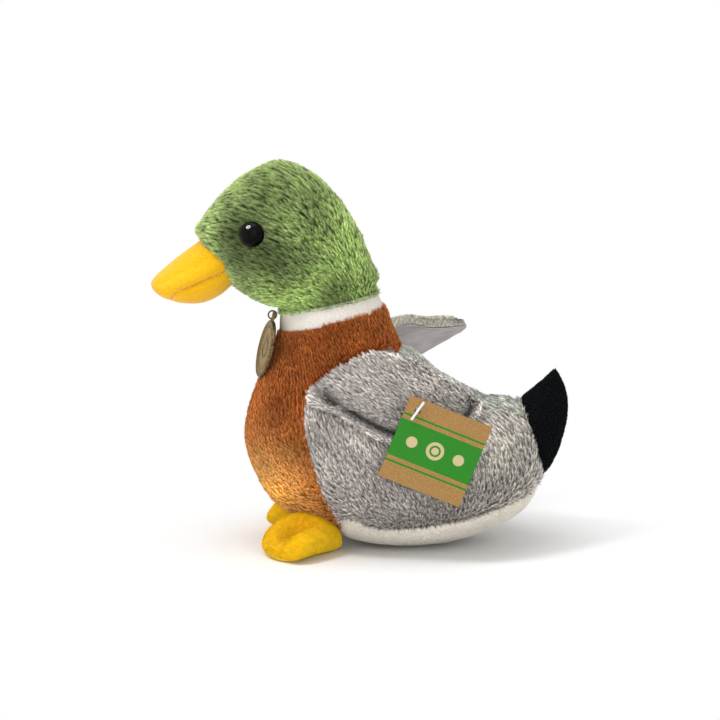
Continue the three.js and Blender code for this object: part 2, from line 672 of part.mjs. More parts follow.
function wingLayer(outlineShare, lowLift, highLift) {
  const outline = new THREE.CatmullRomCurve3(
    WING_SHARES.map(([place, degrees]) => new THREE.Vector3(place, degrees, 0)), true, 'centripetal');
  const [centrePlace, centreDegrees] = WING_CENTRE_SHARE;
  const points = [];
  const addRing = (reach, lift) => {
    for (let index = 0; index < WING_POINTS; index += 1) {
      const rim = outline.getPoint(index / WING_POINTS);
      const place = centrePlace + (rim.x - centrePlace) * reach;
      const degrees = centreDegrees + (rim.y - centreDegrees) * reach;
      points.push(wingPoint(place, degrees, lift(reach)));
    }
  };
  const reaches = Array.from({ length: WING_RINGS }, (_, ring) => Math.min(outlineShare, 1 - ring / WING_RINGS));
  for (const reach of [...reaches].reverse()) {
    addRing(reach, lowLift);
  }
  for (const reach of reaches) {
    addRing(reach, highLift);
  }
  points.push(wingPoint(centrePlace, centreDegrees, lowLift(0)));
  points.push(wingPoint(centrePlace, centreDegrees, highLift(0)));
  return geometryFrom(points, ringFaces(points, 2 * WING_RINGS, WING_POINTS));
}

function wingHinge() {
  const [start, end] = WING_HINGE_SHARES.map(([place, degrees]) => wingPoint(place, degrees, WING_HINGE_LIFT));
  const origin = start.clone().add(end).multiplyScalar(0.5);
  return { origin, axis: end.clone().sub(start).normalize(), start };
}

// Rolls a wing outwards round an upright line, more so away from it
function rolledOut(geometry, line, rollRadius) {
  const place = geometry.getAttribute('position');
  const upright = new THREE.Vector3(0, 0, 1);
  const point = new THREE.Vector3();
  for (let index = 0; index < place.count; index += 1) {
    point.fromBufferAttribute(place, index).sub(line);
    point.applyAxisAngle(upright, -Math.hypot(point.x, point.y) / (2 * rollRadius)).add(line);
    place.setXYZ(index, point.x, point.y, point.z);
  }
  geometry.computeVertexNormals();
  return geometry;
}

function wing(side) {
  const floor = WING_UNDER_GAP + WING_LINING + SEAM_GAP;
  const fill = (reach) => WING_FILL * (1 - reach * reach);
  const layers = [
    ['lining', wingLayer(1, () => WING_UNDER_GAP, () => WING_UNDER_GAP + WING_LINING), COLOURS.lining],
    ['stuffing', wingLayer(WING_FILL_SHARE, () => floor + SEAM_GAP,
      (reach) => floor + fill(reach) - WING_FILL_GAP), COLOURS.stuffing],
    ['cover', wingLayer(1, (reach) => floor + fill(reach), (reach) => floor + fill(reach) + PLUSH),
      COLOURS.side],
  ];
  const { origin, axis, start } = wingHinge();
  if (side === 'left') {
    return hinged('left_wing_hinge', origin, axis, -LEFT_WING_ANGLE,
      layers.map(([layer, geometry, colour]) => mesh(`left_wing_${layer}`, geometry, colour)));
  }
  // The right wing stands up behind: its tip is raised, it is rolled outwards, and then it swings out
  const raise = radians(RIGHT_WING_RAISE_ANGLE);
  const raised = (geometry) => {
    geometry.translate(-origin.x, -origin.y, -origin.z).rotateX(raise).translate(origin.x, origin.y, origin.z);
    return mirrored(rolledOut(geometry, start, RIGHT_WING_ROLL_RADIUS)).translate(-RIGHT_WING_STANDOFF, 0, 0);
  };
  const pieces = layers.map(([layer, geometry, colour]) => mesh(`right_wing_${layer}`, raised(geometry), colour));
  const flip = new THREE.Vector3(-1, 1, 1);
  axis.applyAxisAngle(new THREE.Vector3(1, 0, 0), raise).multiply(flip);
  origin.multiply(flip).x -= RIGHT_WING_STANDOFF;
  return hinged('right_wing_hinge', origin, axis, RIGHT_WING_ANGLE, pieces);
}

// A puffed foot with a flat sole, its heel tucked under the torso
function foot(side) {
  const rows = sized(FOOT_SHARES, FOOT_LENGTH, FOOT_HEIGHT, FOOT_WIDTH / 2, 0, -REST_CUT);
  const place = (geometry) => geometry.rotateZ(radians(FOOT_SPLAY_ANGLE))
    .translate(FOOT_SPREAD / 2, FOOT_HEEL_SHARE * TORSO_LENGTH, 0);
  const form = (inset) => solid(place(loft(drawnIn(rows, inset), FOOT_STEPS, SMALL_RING_POINTS)));
  const slab = (low, high) => box([-TORSO_WIDTH, -TORSO_LENGTH, low], [TORSO_WIDTH, TORSO_LENGTH, high]);
  const torso = torsoForm(-SEAM_GAP);
  const above = (height) => slab(-OVERRUN, height);
  const upper = form(0).subtract(form(PLUSH)).subtract(above(FOOT_SOLE + SEAM_GAP)).subtract(torso);
  const sole = form(0).intersect(slab(0, FOOT_SOLE)).subtract(torso);
  const filling = form(stuffingInset).subtract(above(FOOT_SOLE + SEAM_GAP)).subtract(torso);
  const layers = [['upper', upper, COLOURS.beak], ['sole', sole, COLOURS.beak],
    ['stuffing', filling, COLOURS.stuffing]];
  const pieces = layers.map(([layer, body, colour]) => {
    const geometry = geometryOf(body);
    return mesh(`${side}_foot_${layer}`, side === 'left' ? geometry : mirrored(geometry), colour);
  });
  const turn = side === 'left' ? 1 : -1;
  const [back, lift] = [FOOT_HINGE_SHARES[0] * FOOT_LENGTH, FOOT_HINGE_SHARES[1] * FOOT_HEIGHT];
  const upright = new THREE.Vector3(0, 0, 1);
  const splay = (direction) => direction.applyAxisAngle(upright, turn * radians(FOOT_SPLAY_ANGLE));
  const heel = splay(new THREE.Vector3(0, back, lift));
  heel.add(new THREE.Vector3((turn * FOOT_SPREAD) / 2, FOOT_HEEL_SHARE * TORSO_LENGTH, 0));
  return hinged(`${side}_foot_hinge`, heel, splay(new THREE.Vector3(1, 0, 0)), 0, pieces);
}

// The square card, its corner hole on the plastic thread that is pinned into the left wing
function swingTag(wingGroup) {
  const [holeY, holeZ] = [CARD_HOLE_SHARE[0] * TORSO_LENGTH, CARD_HOLE_SHARE[1] * TORSO_HEIGHT];
  const { point, normal } = surfaceOver(torsoRows, holeY, holeZ, CARD_NEAR_ROW);
  const wingTop = WING_UNDER_GAP + WING_LINING + SEAM_GAP + WING_FILL + PLUSH;
  const pin = point.clone().addScaledVector(normal, wingTop + SEAM_GAP);
  const cardX = new THREE.Box3().setFromObject(wingGroup, true).max.x + CARD_STANDOFF;
  const outward = new THREE.Vector3(1, 0, 0);
  const front = new THREE.Vector3(cardX + CARD_THICKNESS + SEAM_GAP, pin.y, pin.z);
  const reach = CARD_SIZE - CARD_HOLE_INSET;
  const square = new THREE.Shape([
    new THREE.Vector2(-CARD_HOLE_INSET, CARD_HOLE_INSET), new THREE.Vector2(-CARD_HOLE_INSET, -reach),
    new THREE.Vector2(reach, -reach), new THREE.Vector2(reach, CARD_HOLE_INSET)]);
  square.holes.push(new THREE.Path().absarc(0, 0, CARD_HOLE_DIAMETER / 2, 0, 2 * Math.PI));
  const card = new THREE.ExtrudeGeometry(square,
    { depth: CARD_THICKNESS, bevelEnabled: false, curveSegments: SMALL_RING_POINTS });
  card.rotateZ(-radians(CARD_ANGLE)).rotateX(Math.PI / 2).rotateZ(Math.PI / 2)
    .translate(cardX, pin.y, pin.z);
  const barTurn = new THREE.Vector3(0, 1, 0).applyAxisAngle(outward, radians(FASTENER_BAR_ANGLE));
  const barHalf = barTurn.multiplyScalar(FASTENER_BAR_LENGTH / 2);
  const barCentre = front.clone().addScaledVector(outward, FASTENER_BAR_DIAMETER / 2);
  const bar = solid(rod(barCentre.clone().sub(barHalf), barCentre.clone().add(barHalf), FASTENER_BAR_DIAMETER));
  const thread = solid(rod(pin, barCentre, FASTENER_THREAD_DIAMETER, THREAD_FACETS));
  const cardGroup = hinged('tag_card_hinge', front, outward, 0, [
    mesh('tag_card', card, COLOURS.card, 0.8)]);
  const fastenerGroup = hinged('tag_fastener_hinge', pin, new THREE.Vector3(0, 1, 0), 0, [
    mesh('tag_fastener', geometryOf(bar.add(thread)), COLOURS.fastener, 0.4)]);
  return [cardGroup, fastenerGroup];
}

// The medallion with its eyelet tab and raised rim, and the thread ring that holds it
function medallion() {
  const top = loftPoint(headRows, 1, Math.PI);
  const rest = loftPoint(torsoRows, MEDALLION_REST_SHARE, Math.PI);
  const front = Math.min(top.y, collarFrontY);
  const home = new THREE.Vector3(0, front - MEDALLION_STANDOFF - collarTop.y, top.z - MEDALLION_DROP);
  const lean = Math.atan2(front - rest.y, home.z - rest.z);
  const radius = MEDALLION_DIAMETER / 2;
  const [half, tab, halfTab] = [MEDALLION_THICKNESS / 2, MEDALLION_TAB_HEIGHT, MEDALLION_TAB_WIDTH / 2];
  const profile = [[0, -half], [radius, -half], [radius, half], [radius - MEDALLION_RIM, half],
    [radius - MEDALLION_RIM, half - MEDALLION_RELIEF], [0, half - MEDALLION_RELIEF]];
  const disc = new THREE.LatheGeometry(profile.map(([x, y]) => new THREE.Vector2(x, y)), RING_POINTS);
  disc.rotateX(Math.PI).translate(0, 0, -radius - tab);
  const plate = new THREE.BoxGeometry(MEDALLION_TAB_WIDTH, MEDALLION_TAB_THICKNESS, 2 * tab)
    .translate(0, 0, -tab);
  const eyeletAxis = new THREE.Vector3(0, 1, 0);
  const eyeletStart = new THREE.Vector3(0, -tab, -halfTab);
  const eyelet = rod(eyeletStart, eyeletStart.clone().addScaledVector(eyeletAxis, 2 * tab), MEDALLION_EYELET);
  const pressed = geometryOf(solid(disc).add(solid(plate)).subtract(solid(eyelet)));
  const ringRadius = (MEDALLION_RING - MEDALLION_THREAD) / 2;
  const ring = new THREE.TorusGeometry(ringRadius, MEDALLION_THREAD / 2, THREAD_FACETS, THREAD_RING_FACETS);
  ring.rotateY(Math.PI / 2).translate(0, 0, ringRadius - halfTab);
  const turn = radians(MEDALLION_ANGLE);
  const hang = (geometry) => geometry.rotateX(-lean).translate(...home.toArray())
    .rotateZ(turn).translate(0, collarTop.y, 0);
  const axis = new THREE.Vector3(Math.cos(turn), Math.sin(turn), 0);
  const pivot = new THREE.Vector3(0, 0, -halfTab).applyAxisAngle(new THREE.Vector3(1, 0, 0), -lean).add(home)
    .applyAxisAngle(new THREE.Vector3(0, 0, 1), turn);
  pivot.y += collarTop.y;
  return [
    hinged('medallion_hinge', pivot, axis, 0, [mesh('medallion', hang(pressed), COLOURS.medallion, 0.45, 0.8)]),
    mesh('medallion_ring', hang(ring), COLOURS.thread),
  ];
}

const duck = new THREE.Group();
duck.name = 'plush_duck';
duck.add(...torsoPieces(), ...neckPieces(), ...headPieces());
const leftWing = wing('left');
duck.add(leftWing, wing('right'), foot('left'), foot('right'));
duck.add(...swingTag(leftWing), ...medallion());

export default duck;
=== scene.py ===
"""Looks of a sitting plush duck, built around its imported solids.

Sizes are in millimetres until a mesh is made. The duck faces -Y and its left side is +X.
"""

import json
import math

import bmesh
import bpy
import numpy as np
from mathutils import Matrix, Vector
from mathutils.kdtree import KDTree

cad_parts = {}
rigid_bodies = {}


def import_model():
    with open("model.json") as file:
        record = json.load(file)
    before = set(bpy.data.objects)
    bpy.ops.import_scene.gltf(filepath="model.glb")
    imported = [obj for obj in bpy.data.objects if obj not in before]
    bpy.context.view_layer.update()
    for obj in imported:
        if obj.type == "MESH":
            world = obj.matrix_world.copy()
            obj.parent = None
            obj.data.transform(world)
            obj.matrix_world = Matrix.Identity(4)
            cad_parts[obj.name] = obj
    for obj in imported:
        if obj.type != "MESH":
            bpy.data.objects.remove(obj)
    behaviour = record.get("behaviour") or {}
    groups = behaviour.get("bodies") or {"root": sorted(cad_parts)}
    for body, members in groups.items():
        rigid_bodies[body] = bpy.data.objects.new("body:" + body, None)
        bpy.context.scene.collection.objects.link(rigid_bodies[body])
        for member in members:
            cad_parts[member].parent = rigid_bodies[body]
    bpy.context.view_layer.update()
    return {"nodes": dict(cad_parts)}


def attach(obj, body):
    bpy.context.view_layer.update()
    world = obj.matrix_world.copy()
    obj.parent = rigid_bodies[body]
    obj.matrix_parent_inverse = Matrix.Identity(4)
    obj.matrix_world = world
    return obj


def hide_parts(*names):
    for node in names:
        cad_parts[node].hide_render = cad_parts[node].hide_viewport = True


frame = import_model()

MM = 0.001

# One unit of the comb maps, and how streaks lie in them
COMB_UNIT = 100.0
COMB_STRETCH = (0.1, 0.06, 1.0)

# Gain of the pile's colour at the top of the shade layer, which carries painted light and shade
SHADE_RANGE = 4.0

# Driving dimensions of the stuffed forms, as in the solids
TORSO_LENGTH = 155.0
TORSO_HEIGHT = 115.0
TORSO_WIDTH = 100.0
HEAD_LENGTH = 87.0
HEAD_HEIGHT = 70.0
HEAD_WIDTH = 69.0
BEAK_LENGTH = 32.5
BEAK_HEIGHT = 27.0
BEAK_WIDTH = 34.0
COLLAR_HEIGHT = 10.6
FOOT_LENGTH = 34.0
FOOT_WIDTH = 32.0
FOOT_HEIGHT = 21.0
FOOT_SPLAY_ANGLE = 38.0
FOOT_SPREAD = 36.0
EYE_DIAMETER = 12.0
EYE_DOME_HEIGHT = 5.0
REST_CUT = 0.5
BACK_STRIP_WIDTH = 36.0
WING_UNDER_GAP = 0.95
WING_LINING = 1.2
WING_FILL = 4.5
WING_PLUSH = 1.8
WING_HINGE_LIFT = 3.4
RIGHT_WING_ANGLE = 19.0
RIGHT_WING_RAISE_ANGLE = 15.0
RIGHT_WING_ROLL_RADIUS = 122.0
RIGHT_WING_STANDOFF = 2.0
ROOT_REACH = 16.0
CARD_ANGLE = 22.0
CARD_SIZE = 40.0
CARD_HOLE_INSET = 5.5
MEDALLION_DIAMETER = 28.0
MEDALLION_THICKNESS = 1.6
MEDALLION_TAB_WIDTH = 4.6
MEDALLION_TAB_HEIGHT = 4.0
MEDALLION_TAB_THICKNESS = 0.8
MEDALLION_ANGLE = 14.0
MEDALLION_STANDOFF = 2.4
MEDALLION_DROP = 1.8
MEDALLION_HANG_ANGLE = 1.5

# How far the cloth lies under the outside of its pile
PILE_DEPTH = 1.3
HEAD_PILE_DEPTH = 1.7
SEAM_DEPTH = 1.1
SEAM_WIDTH = 2.2
HEM_DEPTH = 2.5

# Cloth drawn over its filling: size of the trial's squares, how much slack it has, how far it may move
TRIAL_SQUARE = 4.5
TRIAL_PRESSURE = 4.0
TRIAL_SLACK = 0.02
TRIAL_MOVE = 0.6
TRIAL_FRAMES = 20

# Sections from the neck round to the tail: front end, back end, half width, as shares
TORSO_SHARES = [
    [-0.405, 1.018, -0.060, 1.112, 0.54],
    [-0.387, 0.899, -0.042, 0.993, 0.54],
    [-0.439, 0.720, 0.008, 0.856, 0.66],
    [-0.481, 0.539, 0.065, 0.791, 0.84],
    [-0.480, 0.403, 0.114, 0.733, 0.93],
    [-0.424, 0.229, 0.174, 0.687, 0.98],
    [-0.348, 0.138, 0.226, 0.652, 1.00],
    [-0.206, 0.048, 0.271, 0.630, 1.00],
    [-0.070, 0.000, 0.310, 0.622, 0.97],
    [0.097, 0.000, 0.332, 0.619, 0.91],
    [0.258, 0.057, 0.345, 0.619, 0.80],
    [0.374, 0.143, 0.355, 0.619, 0.69],
    [0.446, 0.287, 0.361, 0.621, 0.58],
    [0.481, 0.374, 0.384, 0.639, 0.48],
    [0.503, 0.461, 0.413, 0.670, 0.38],
    [0.516, 0.548, 0.439, 0.700, 0.28],
    [0.513, 0.635, 0.458, 0.726, 0.17],
    [0.487, 0.722, 0.471, 0.739, 0.06],
]
COLLAR_ROW = 1

HEAD_SHARES = [
    [-0.255, -0.196, 0.297, -0.056, 0.74],
    [-0.276, -0.070, 0.276, 0.070, 0.74],
    [-0.336, -0.034, 0.282, 0.161, 0.81],
    [-0.399, -0.003, 0.233, 0.311, 0.90],
    [-0.451, 0.030, 0.176, 0.476, 0.96],
    [-0.491, 0.061, 0.072, 0.683, 1.00],
    [-0.520, 0.094, -0.077, 0.869, 0.985],
    [-0.560, 0.160, -0.255, 0.969, 0.93],
    [-0.594, 0.226, -0.422, 0.897, 0.83],
    [-0.627, 0.283, -0.560, 0.776, 0.70],
    [-0.663, 0.340, -0.646, 0.654, 0.52],
    [-0.695, 0.404, -0.701, 0.540, 0.32],
    [-0.711, 0.447, -0.715, 0.497, 0.14],
]

BEAK_ROOT_SHARE = [-0.606, 0.269]
BEAK_SHARES = [
    [0.412, -0.260, 0.118, 0.444, 0.76],
    [0.235, -0.444, -0.147, 0.426, 0.88],
    [0.030, -0.648, -0.353, 0.260, 0.96],
    [-0.235, -0.778, -0.559, 0.085, 1.00],
    [-0.559, -0.770, -0.765, -0.119, 0.96],
    [-0.779, -0.678, -0.897, -0.260, 0.79],
    [-0.912, -0.556, -0.965, -0.360, 0.47],
    [-0.959, -0.481, -0.976, -0.415, 0.18],
]
MOUTH_SHARES = [
    [1.10, 0.30], [0.60, 0.05], [0.13, -0.19], [-0.12, -0.31], [-0.32, -0.41], [-0.53, -0.54], [-0.68, -0.74],
    [-0.72, -1.10],
]
BEAK_GROOVE_SHARES = [[0.25, 0.20], [-0.02, 0.08], [-0.35, -0.10], [-0.62, -0.26], [-0.80, -0.38]]

# Seams in side view, as shares of the torso's length and height
BREAST_SEAM_SHARES = [
    [0.20, 1.60], [0.020, 0.895], [-0.040, 0.845], [-0.105, 0.830], [-0.200, 0.765], [-0.275, 0.706],
    [-0.297, 0.636], [-0.297, 0.542], [-0.269, 0.379], [-0.238, 0.249], [-0.200, 0.143], [-0.190, 0.050],
    [-0.190, -0.400],
]
BELLY_SEAM_SHARES = [
    [-0.194, -0.400], [-0.194, 0.125], [-0.070, 0.120], [0.065, 0.133], [0.250, 0.183], [0.378, 0.239],
    [0.445, 0.305], [0.900, 0.700],
]
TAIL_SEAM_SHARES = [[0.276, 0.995], [0.361, 0.640], [0.446, 0.285], [0.531, -0.070]]

WING_SHARES = [
    [2.62, 103], [1.95, 60], [2.75, 33], [4.0, 25], [5.3, 23], [6.6, 24], [7.0, 33], [7.05, 46], [6.7, 60],
    [6.0, 69], [5.1, 72], [3.6, 86],
]
WING_CENTRE_SHARE = [4.75, 52]
WING_HINGE_SHARES = [[2.30, 105], [1.80, 60]]

FOOT_SHARES = [
    [0.06, 0.04, 0.06, 0.34, 0.26],
    [-0.06, 0, -0.04, 0.72, 0.50],
    [-0.30, 0, -0.27, 0.98, 0.74],
    [-0.58, 0, -0.56, 1.00, 0.93],
    [-0.80, 0, -0.79, 0.82, 1.00],
    [-0.94, 0, -0.93, 0.58, 0.88],
    [-1.01, 0.10, -1.01, 0.32, 0.50],
]
FOOT_HEEL_SHARE = -0.212

# The web's dimple and the crease behind it: centre, radius, depth
FOOT_DENTS = [
    ((37.9, -55.0, 14.6), 4.6, 6.2), ((39.4, -50.5, 15.4), 3.4, 1.8), ((39.8, -47.5, 16.2), 3.2, 2.0),
    ((38.8, -44.5, 16.8), 3.2, 2.0), ((37.1, -41.0, 17.4), 3.2, 2.0), ((34.0, -50.0, 18.0), 6.0, 1.2),
    ((45.0, -50.0, 10.0), 6.0, -1.2), ((40.0, -61.5, 5.0), 5.0, -1.2),
]

EYE_SHARE = [-0.396, 0.479]
MEDALLION_REST_SHARE = 2.1
CARD_HOLE_SHARE = [0.023, 0.600]

# Stitched groove along the wing's lower rim, in side view, as shares of the torso's length and height
WING_GROOVE_SHARES = [
    [-0.239, 0.696], [-0.177, 0.638], [-0.130, 0.602], [-0.083, 0.569], [-0.032, 0.543], [0.052, 0.526],
    [0.129, 0.543], [0.181, 0.578], [0.213, 0.617], [0.226, 0.661],
]
WING_DROOP_SHARES = [0, 0, 0, 0, 0, 0, 0, 0, 3.0, 4.5, 5.0, 3.5]

# How far the raised wing's rim sags in millimetres, point by point round its outline
RIGHT_WING_SAGS = [0, 0, 0.8, 1.4, 1.8, 2.6, 5.0, 4.6, 2.0, 0.4, 0, 0]
WING_TIP_ROW = 5.3

# Colours as written: root, body and tip of the pile; the darker roots are partly the fibres' own colour and
# partly painted shade deep in the pile
PLUSH_COLOURS = {
    "head": ("#1c3010", "#9bc463", "#effcb8"),
    "collar": ("#c3b9ad", "#e9e2d9", "#f8f4ee"),
    "breast": ("#5a1d06", "#c4611b", "#f4a45c"),
    "side": ("#57504c", "#d3cac2", "#fffbf7"),
    "back": ("#6a6c62", "#c6c8bc", "#f4f6ee"),
    "belly": ("#ddd5c6", "#fff9ee", "#fffefa"),
    "tail": ("#020203", "#0c0e10", "#24272b"),
    "beak": ("#dc9203", "#f8bd14", "#ffda48"),
    "foot": ("#efa704", "#ffd80c", "#ffe93a"),
    # The raised wing's plush: the side plush in calmer tones, brightened by the painted-light gain of its
    # wing
    "raised": ("#8d8a7e", "#bdb9ac", "#e6e3d8"),
}

# Painted light and shade on the pile, as lighter and darker places: painted sheen, highlights and shadows.
# Place in millimetres, reach, change of each colour
PAINTED_LIGHT_PATCHES = {
    # Head: painted shade round the eye, behind the cheek and over the crown; painted light on the jaw and
    # nape
    "head": [((30, -81, 136), 13, (-0.45, -0.45, -0.45)), ((33, -57, 137), 14, (-0.58, -0.58, -0.58)),
             ((30, -20, 142), 18, (0.38, 0.34, 0.28)), ((24, -52, 121), 13, (0.50, 0.48, 0.40)),
             ((24, -55, 172), 22, (-0.30, -0.32, -0.32)), ((33, -74, 152), 13, (-0.50, -0.50, -0.50)),
             ((28, -28, 122), 10, (-0.40, -0.40, -0.40))],
    # Breast: painted sheen on the lower front and upper rim; painted shade at mid height and in the
    # medallion's shadow
    "breast": [((30, -32, 104), 16, (-0.25, -0.30, -0.35)), ((32, -60, 66), 20, (-0.25, -0.42, -0.55)),
               ((26, -58, 28), 24, (0.85, 2.55, 3.90)), ((20, -75, 90), 14, (0.15, 0.12, 0.10)),
               ((25, -40, 95), 14, (-0.10, -0.14, -0.20)),
               ((22, -56, 95), 9, (-0.34, -0.38, -0.38)), ((20, -74, 74), 10, (0.20, 0.34, 0.42))],
    # Sides: painted shade low on the flank, slight painted light elsewhere
    "side": [((48, -30, 48), 18, (0.05, 0.05, 0.05)), ((45, 45, 36), 20, (0.04, 0.06, 0.02)),
             ((40, 58, 58), 14, (0.02, 0.05, 0.00)), ((44, 20, 24), 20, (-0.14, -0.14, -0.14))],
    # Feet: painted shade in the web's dimple and the crease behind it
    "foot": [((37.9, -55.0, 14.6), 4.8, (-0.40, -0.65, -0.80)),
             ((39.8, -48, 16.2), 3.5, (-0.12, -0.30, -0.50)),
             ((37.1, -41, 17.4), 3.5, (-0.10, -0.26, -0.40)), ((34, -48, 19), 5.0, (-0.06, -0.20, -0.50))],
}

# Points of the lofted forms: steps along, points round
TORSO_MESH = (150, 112)
HEAD_MESH = (130, 120)
BEAK_MESH = (90, 80)
FOOT_MESH = (70, 72)
COLLAR_MESH = (26, 96)
EYE_MESH = (20, 64)
DISC_POINTS = 96
BEAD_POINTS = 8

# How firmly the trial holds the cloth near a place, and over what distance it lets go
TORSO_SEAM_HOLD = (2, 2.5)
TORSO_NECK_HOLD = (6, 4)
TORSO_FLOOR_HOLD = (4, 3)
HEAD_NECK_HOLD = (12, 8)
HEAD_SEAM_HOLD = (1.5, 2)
EYE_HOLD = (2, 6)

# Torso and head: a place on each seam's own side, depth of the back's seams, and how far in the cloth ends
SEAM_SIDE_SHARES = {"tail": (0.6, 0.6), "belly": (0.1, 0.0), "breast": (-0.45, 0.5)}
BACK_SEAM_SHARE = 0.6
TORSO_TUCK = 1.5
HEAD_TUCK = 2.0
COLLAR_PLACES = (0.75, 3.25)
COLLAR_BULGE = 0.5

# Where the pile's comb starts and ends: steps from the collar's ends, or shares of the torso
TORSO_COMB_START = [0, -6, 0]
TORSO_COMB_END_SHARE = (0.16, -0.30)
HEAD_COMB_START = [4, 4]
HEAD_COMB_END = [0, 6, 0]
COLLAR_COMB_REACH = 60
FOOT_COMB = ([0, 0, 30], [0, -120, 0])

# Pile: short or combed, sizes of its tufts and patches in millimetres, and how far its tone wanders
SHORT_PILES = ("collar", "belly", "beak", "foot", "tail")
TUFT_SIZES = {"short": 0.5, "combed": 0.75, "head": 0.70}
PATCH_SIZES = {"short": 16.0, "combed": 16.0, "foot": 2.5, "raised": 5.0}
TONE_SPREADS = {"short": 0.15, "combed": 0.9, "foot": 0.45, "raised": 0.45}
COMB_STRETCHES = {"head": (0.1, 0.035, 1.0)}
COMB_GIRTH = 45.0
HEAD_COMB_GIRTH = 30.0

# Cloth under the pile: where the three colours lie in its noise, and strength and depth of its relief
CLOTH_STOPS = {"short": (0.15, 0.50, 0.9), "combed": (0.30, 0.50, 0.74)}
CLOTH_RELIEFS = {"short": (0.35, 0.25), "combed": (0.8, 0.7)}

# Strands: where the colours lie along them, gain from strand to strand, and gain over the streaks of the comb
STRAND_STOPS = (0.0, 0.45, 1.0)
STRAND_GAINS = [(0.0, 0.8), (1.0, 1.15)]
STREAK_GAINS = {
    "side": [(0.40, 0.24), (0.60, 1.55)],
    "raised": [(0.40, 0.60), (0.60, 1.20)],
    "head": [(0.38, 0.14), (0.48, 1.0), (0.68, 1.5)],
    "breast": [(0.40, 0.50), (0.60, 1.32)],
}

# Ribs of the breast's pile, full at the upper height and faint at the lower
RIB_WIDTH = 2.0
RIB_WAVER = 1.6
RIB_HEIGHTS = (48.0, 88.0)
RIB_SHARES = (0.15, 1.0)
RIB_GAINS = [(0.15, 0.38), (0.60, 1.36)]

# Grain of the other materials: size of its features in millimetres, and strength and depth of its relief
EYE_SMUDGE = 3.0
LINING_KNIT = 0.5
LINING_PATCH = 12.0
LINING_RELIEF = (0.4, 0.15)
CARD_FIBRE = 0.5
CARD_FLECK = 0.35
CARD_RELIEF = (0.3, 0.1)
PLASTIC_HAZE = 1.0
BRASS_WEAR = 1.2
BRASS_RELIEF = (0.3, 0.15)
THREAD_TWIST = 0.4
THREAD_RELIEF = (0.5, 0.15)

# Strands of the pile: radius at the root in millimetres and share of it at the tip; waves in metres
STRAND_RADIUS = 0.09
STRAND_TIP_SHARE = 0.3
STRAND_WAVE = 0.0002
STRAND_WAVE_SIZE = 0.002
STRAND_END_WAVE = 0.0004
STRAND_SEEDS = {"torso": 1, "collar": 21, "head": 31, "wing": 51, "foot": 61}

# Step in rows and radians for a surface's slope, and how many rows either side a place is looked for
SLOPE_STEP = 0.01
ROW_REACH = 2.5

# Pile of every piece: rise from the cloth, lay along the comb and scatter, as shares of its length
PILE_RISE_SHARE = 0.34
PILE_LAY_SHARE = 0.95
PILE_SCATTER_SHARE = 0.16
PILE_SHORTEST_SHARE = 0.05
PILE_COUNT = 0.9
TORSO_PILE_LENGTHS = {"tail": 1.6, "belly": 1.1}
TORSO_PILE_LENGTH = 2.8
HEAD_PILE_LENGTH = 3.4
COLLAR_PILE = {"density": 1.6, "length": 0.9, "strand": 0.08, "children": 10, "clump": 0.2}
FOOT_PILE = {"density": 1.4, "length": 1.1, "strand": 0.08, "children": 10, "clump": 0.4}

# The pile is trimmed over the nape's seam and round the eye: centre or start, reach, shortest share
NAPE_SEAM = [0.0, 0.0, 100.0]
NAPE_SQUEEZE = [0.4, 1, 1]
NAPE_REACH = 10
NAPE_SHORTEST_SHARE = 0.4
EYE_TRIM = 4.5
EYE_TRIM_FADE = 5
EYE_SHORTEST_SHARE = 0.3

# The pile is trimmed under the swing tag where it would reach the card
CARD_PILE_MARGIN = 0.3
CARD_PILE_ROOM = 1.8
CARD_PILE_BORDER = 3
CARD_PILE_FADE = 4
CARD_SHORTEST_SHARE = 0.15

# Head: dents of the crown by row, of the cheek by shares of the head and row, and of the eye: radius, depth
CROWN_DENTS = [(9.6, 17.0, 2.4), (7.4, 18.0, 1.8)]
CHEEK_DENTS = [
    ((-0.315, 0.40, 6.0), 7.0, 1.1), ((-0.10, 0.17, 3.5), 10.0, 1.4), ((-0.42, 0.20, 5.0), 11.0, -0.9),
]
EYE_DENT = (8.5, 0.5)
EYE_BACK = [(0.9, -1.2), (1.0, -0.6)]
EYE_LIFT = 0.3
CROWN_SEAM = (0.5, 1.6)

# Beak: depth and half width of the mouth and the groove above it, on its sides only, and the lip between them
BEAK_INSIDE_SHARE = (-0.2, -0.7)
BEAK_SIDE_SHARE = 0.5
BEAK_PILE_DEPTH = 0.3
BEAK_HEM = 1.5
MOUTH_PRESS = (1.5, 1.5)
GROOVE_PRESS = (1.0, 1.4)
LIP_SWELL = 0.3

# Wings: droop of the rim, thickness at the rim, painted-light brightening of the whole wing, plush, length
# and clump of the pile
WING_LOOKS = {"left": (1.0, 1.4, 1.0, "side", 2.6, 0.82), "right": (0.0, 3.4, 1.35, "raised", 1.4, 0.4)}
WING_LAY = (47.0, -24.0)
WING_RINGS = 34
WING_COUNT = 160
WING_COVER_SLACK = 0.6
WING_LINING_SHARE = 0.7
WING_GROOVE_DEPTH = 4.0
WING_GROOVE_WIDTH = 3.0
WING_TIP_WIDTH = 0.9
WING_CORE_SHARE = 0.04
WING_RIM_START = 1.8
WING_RIM_FADE = 1.5
WING_RIM_SHARE = 0.7
# Painted highlight on the wing's lower rim and painted shade in its groove, as shares of the colour
WING_RIM_PAINTED_HIGHLIGHT = 0.35
WING_GROOVE_PAINTED_SHADE = 0.9
WING_GROOVE_TRIM_SHARE = 0.85
WING_SAG_SHARES = (0.35, 0.9)

# Wing lining: its colours
LINING_STOPS = [(0.3, "#a29c9c"), (0.5, "#b5afae"), (0.75, "#c6c0be")]

# Feet: height of the seam over the sole, and how close to the floor the cloth comes
SOLE_HEIGHT = 1.6
FOOT_PILE_DEPTH = 0.4
FOOT_CLEARANCE = 0.25
BELLY_CLEARANCE = 0.4

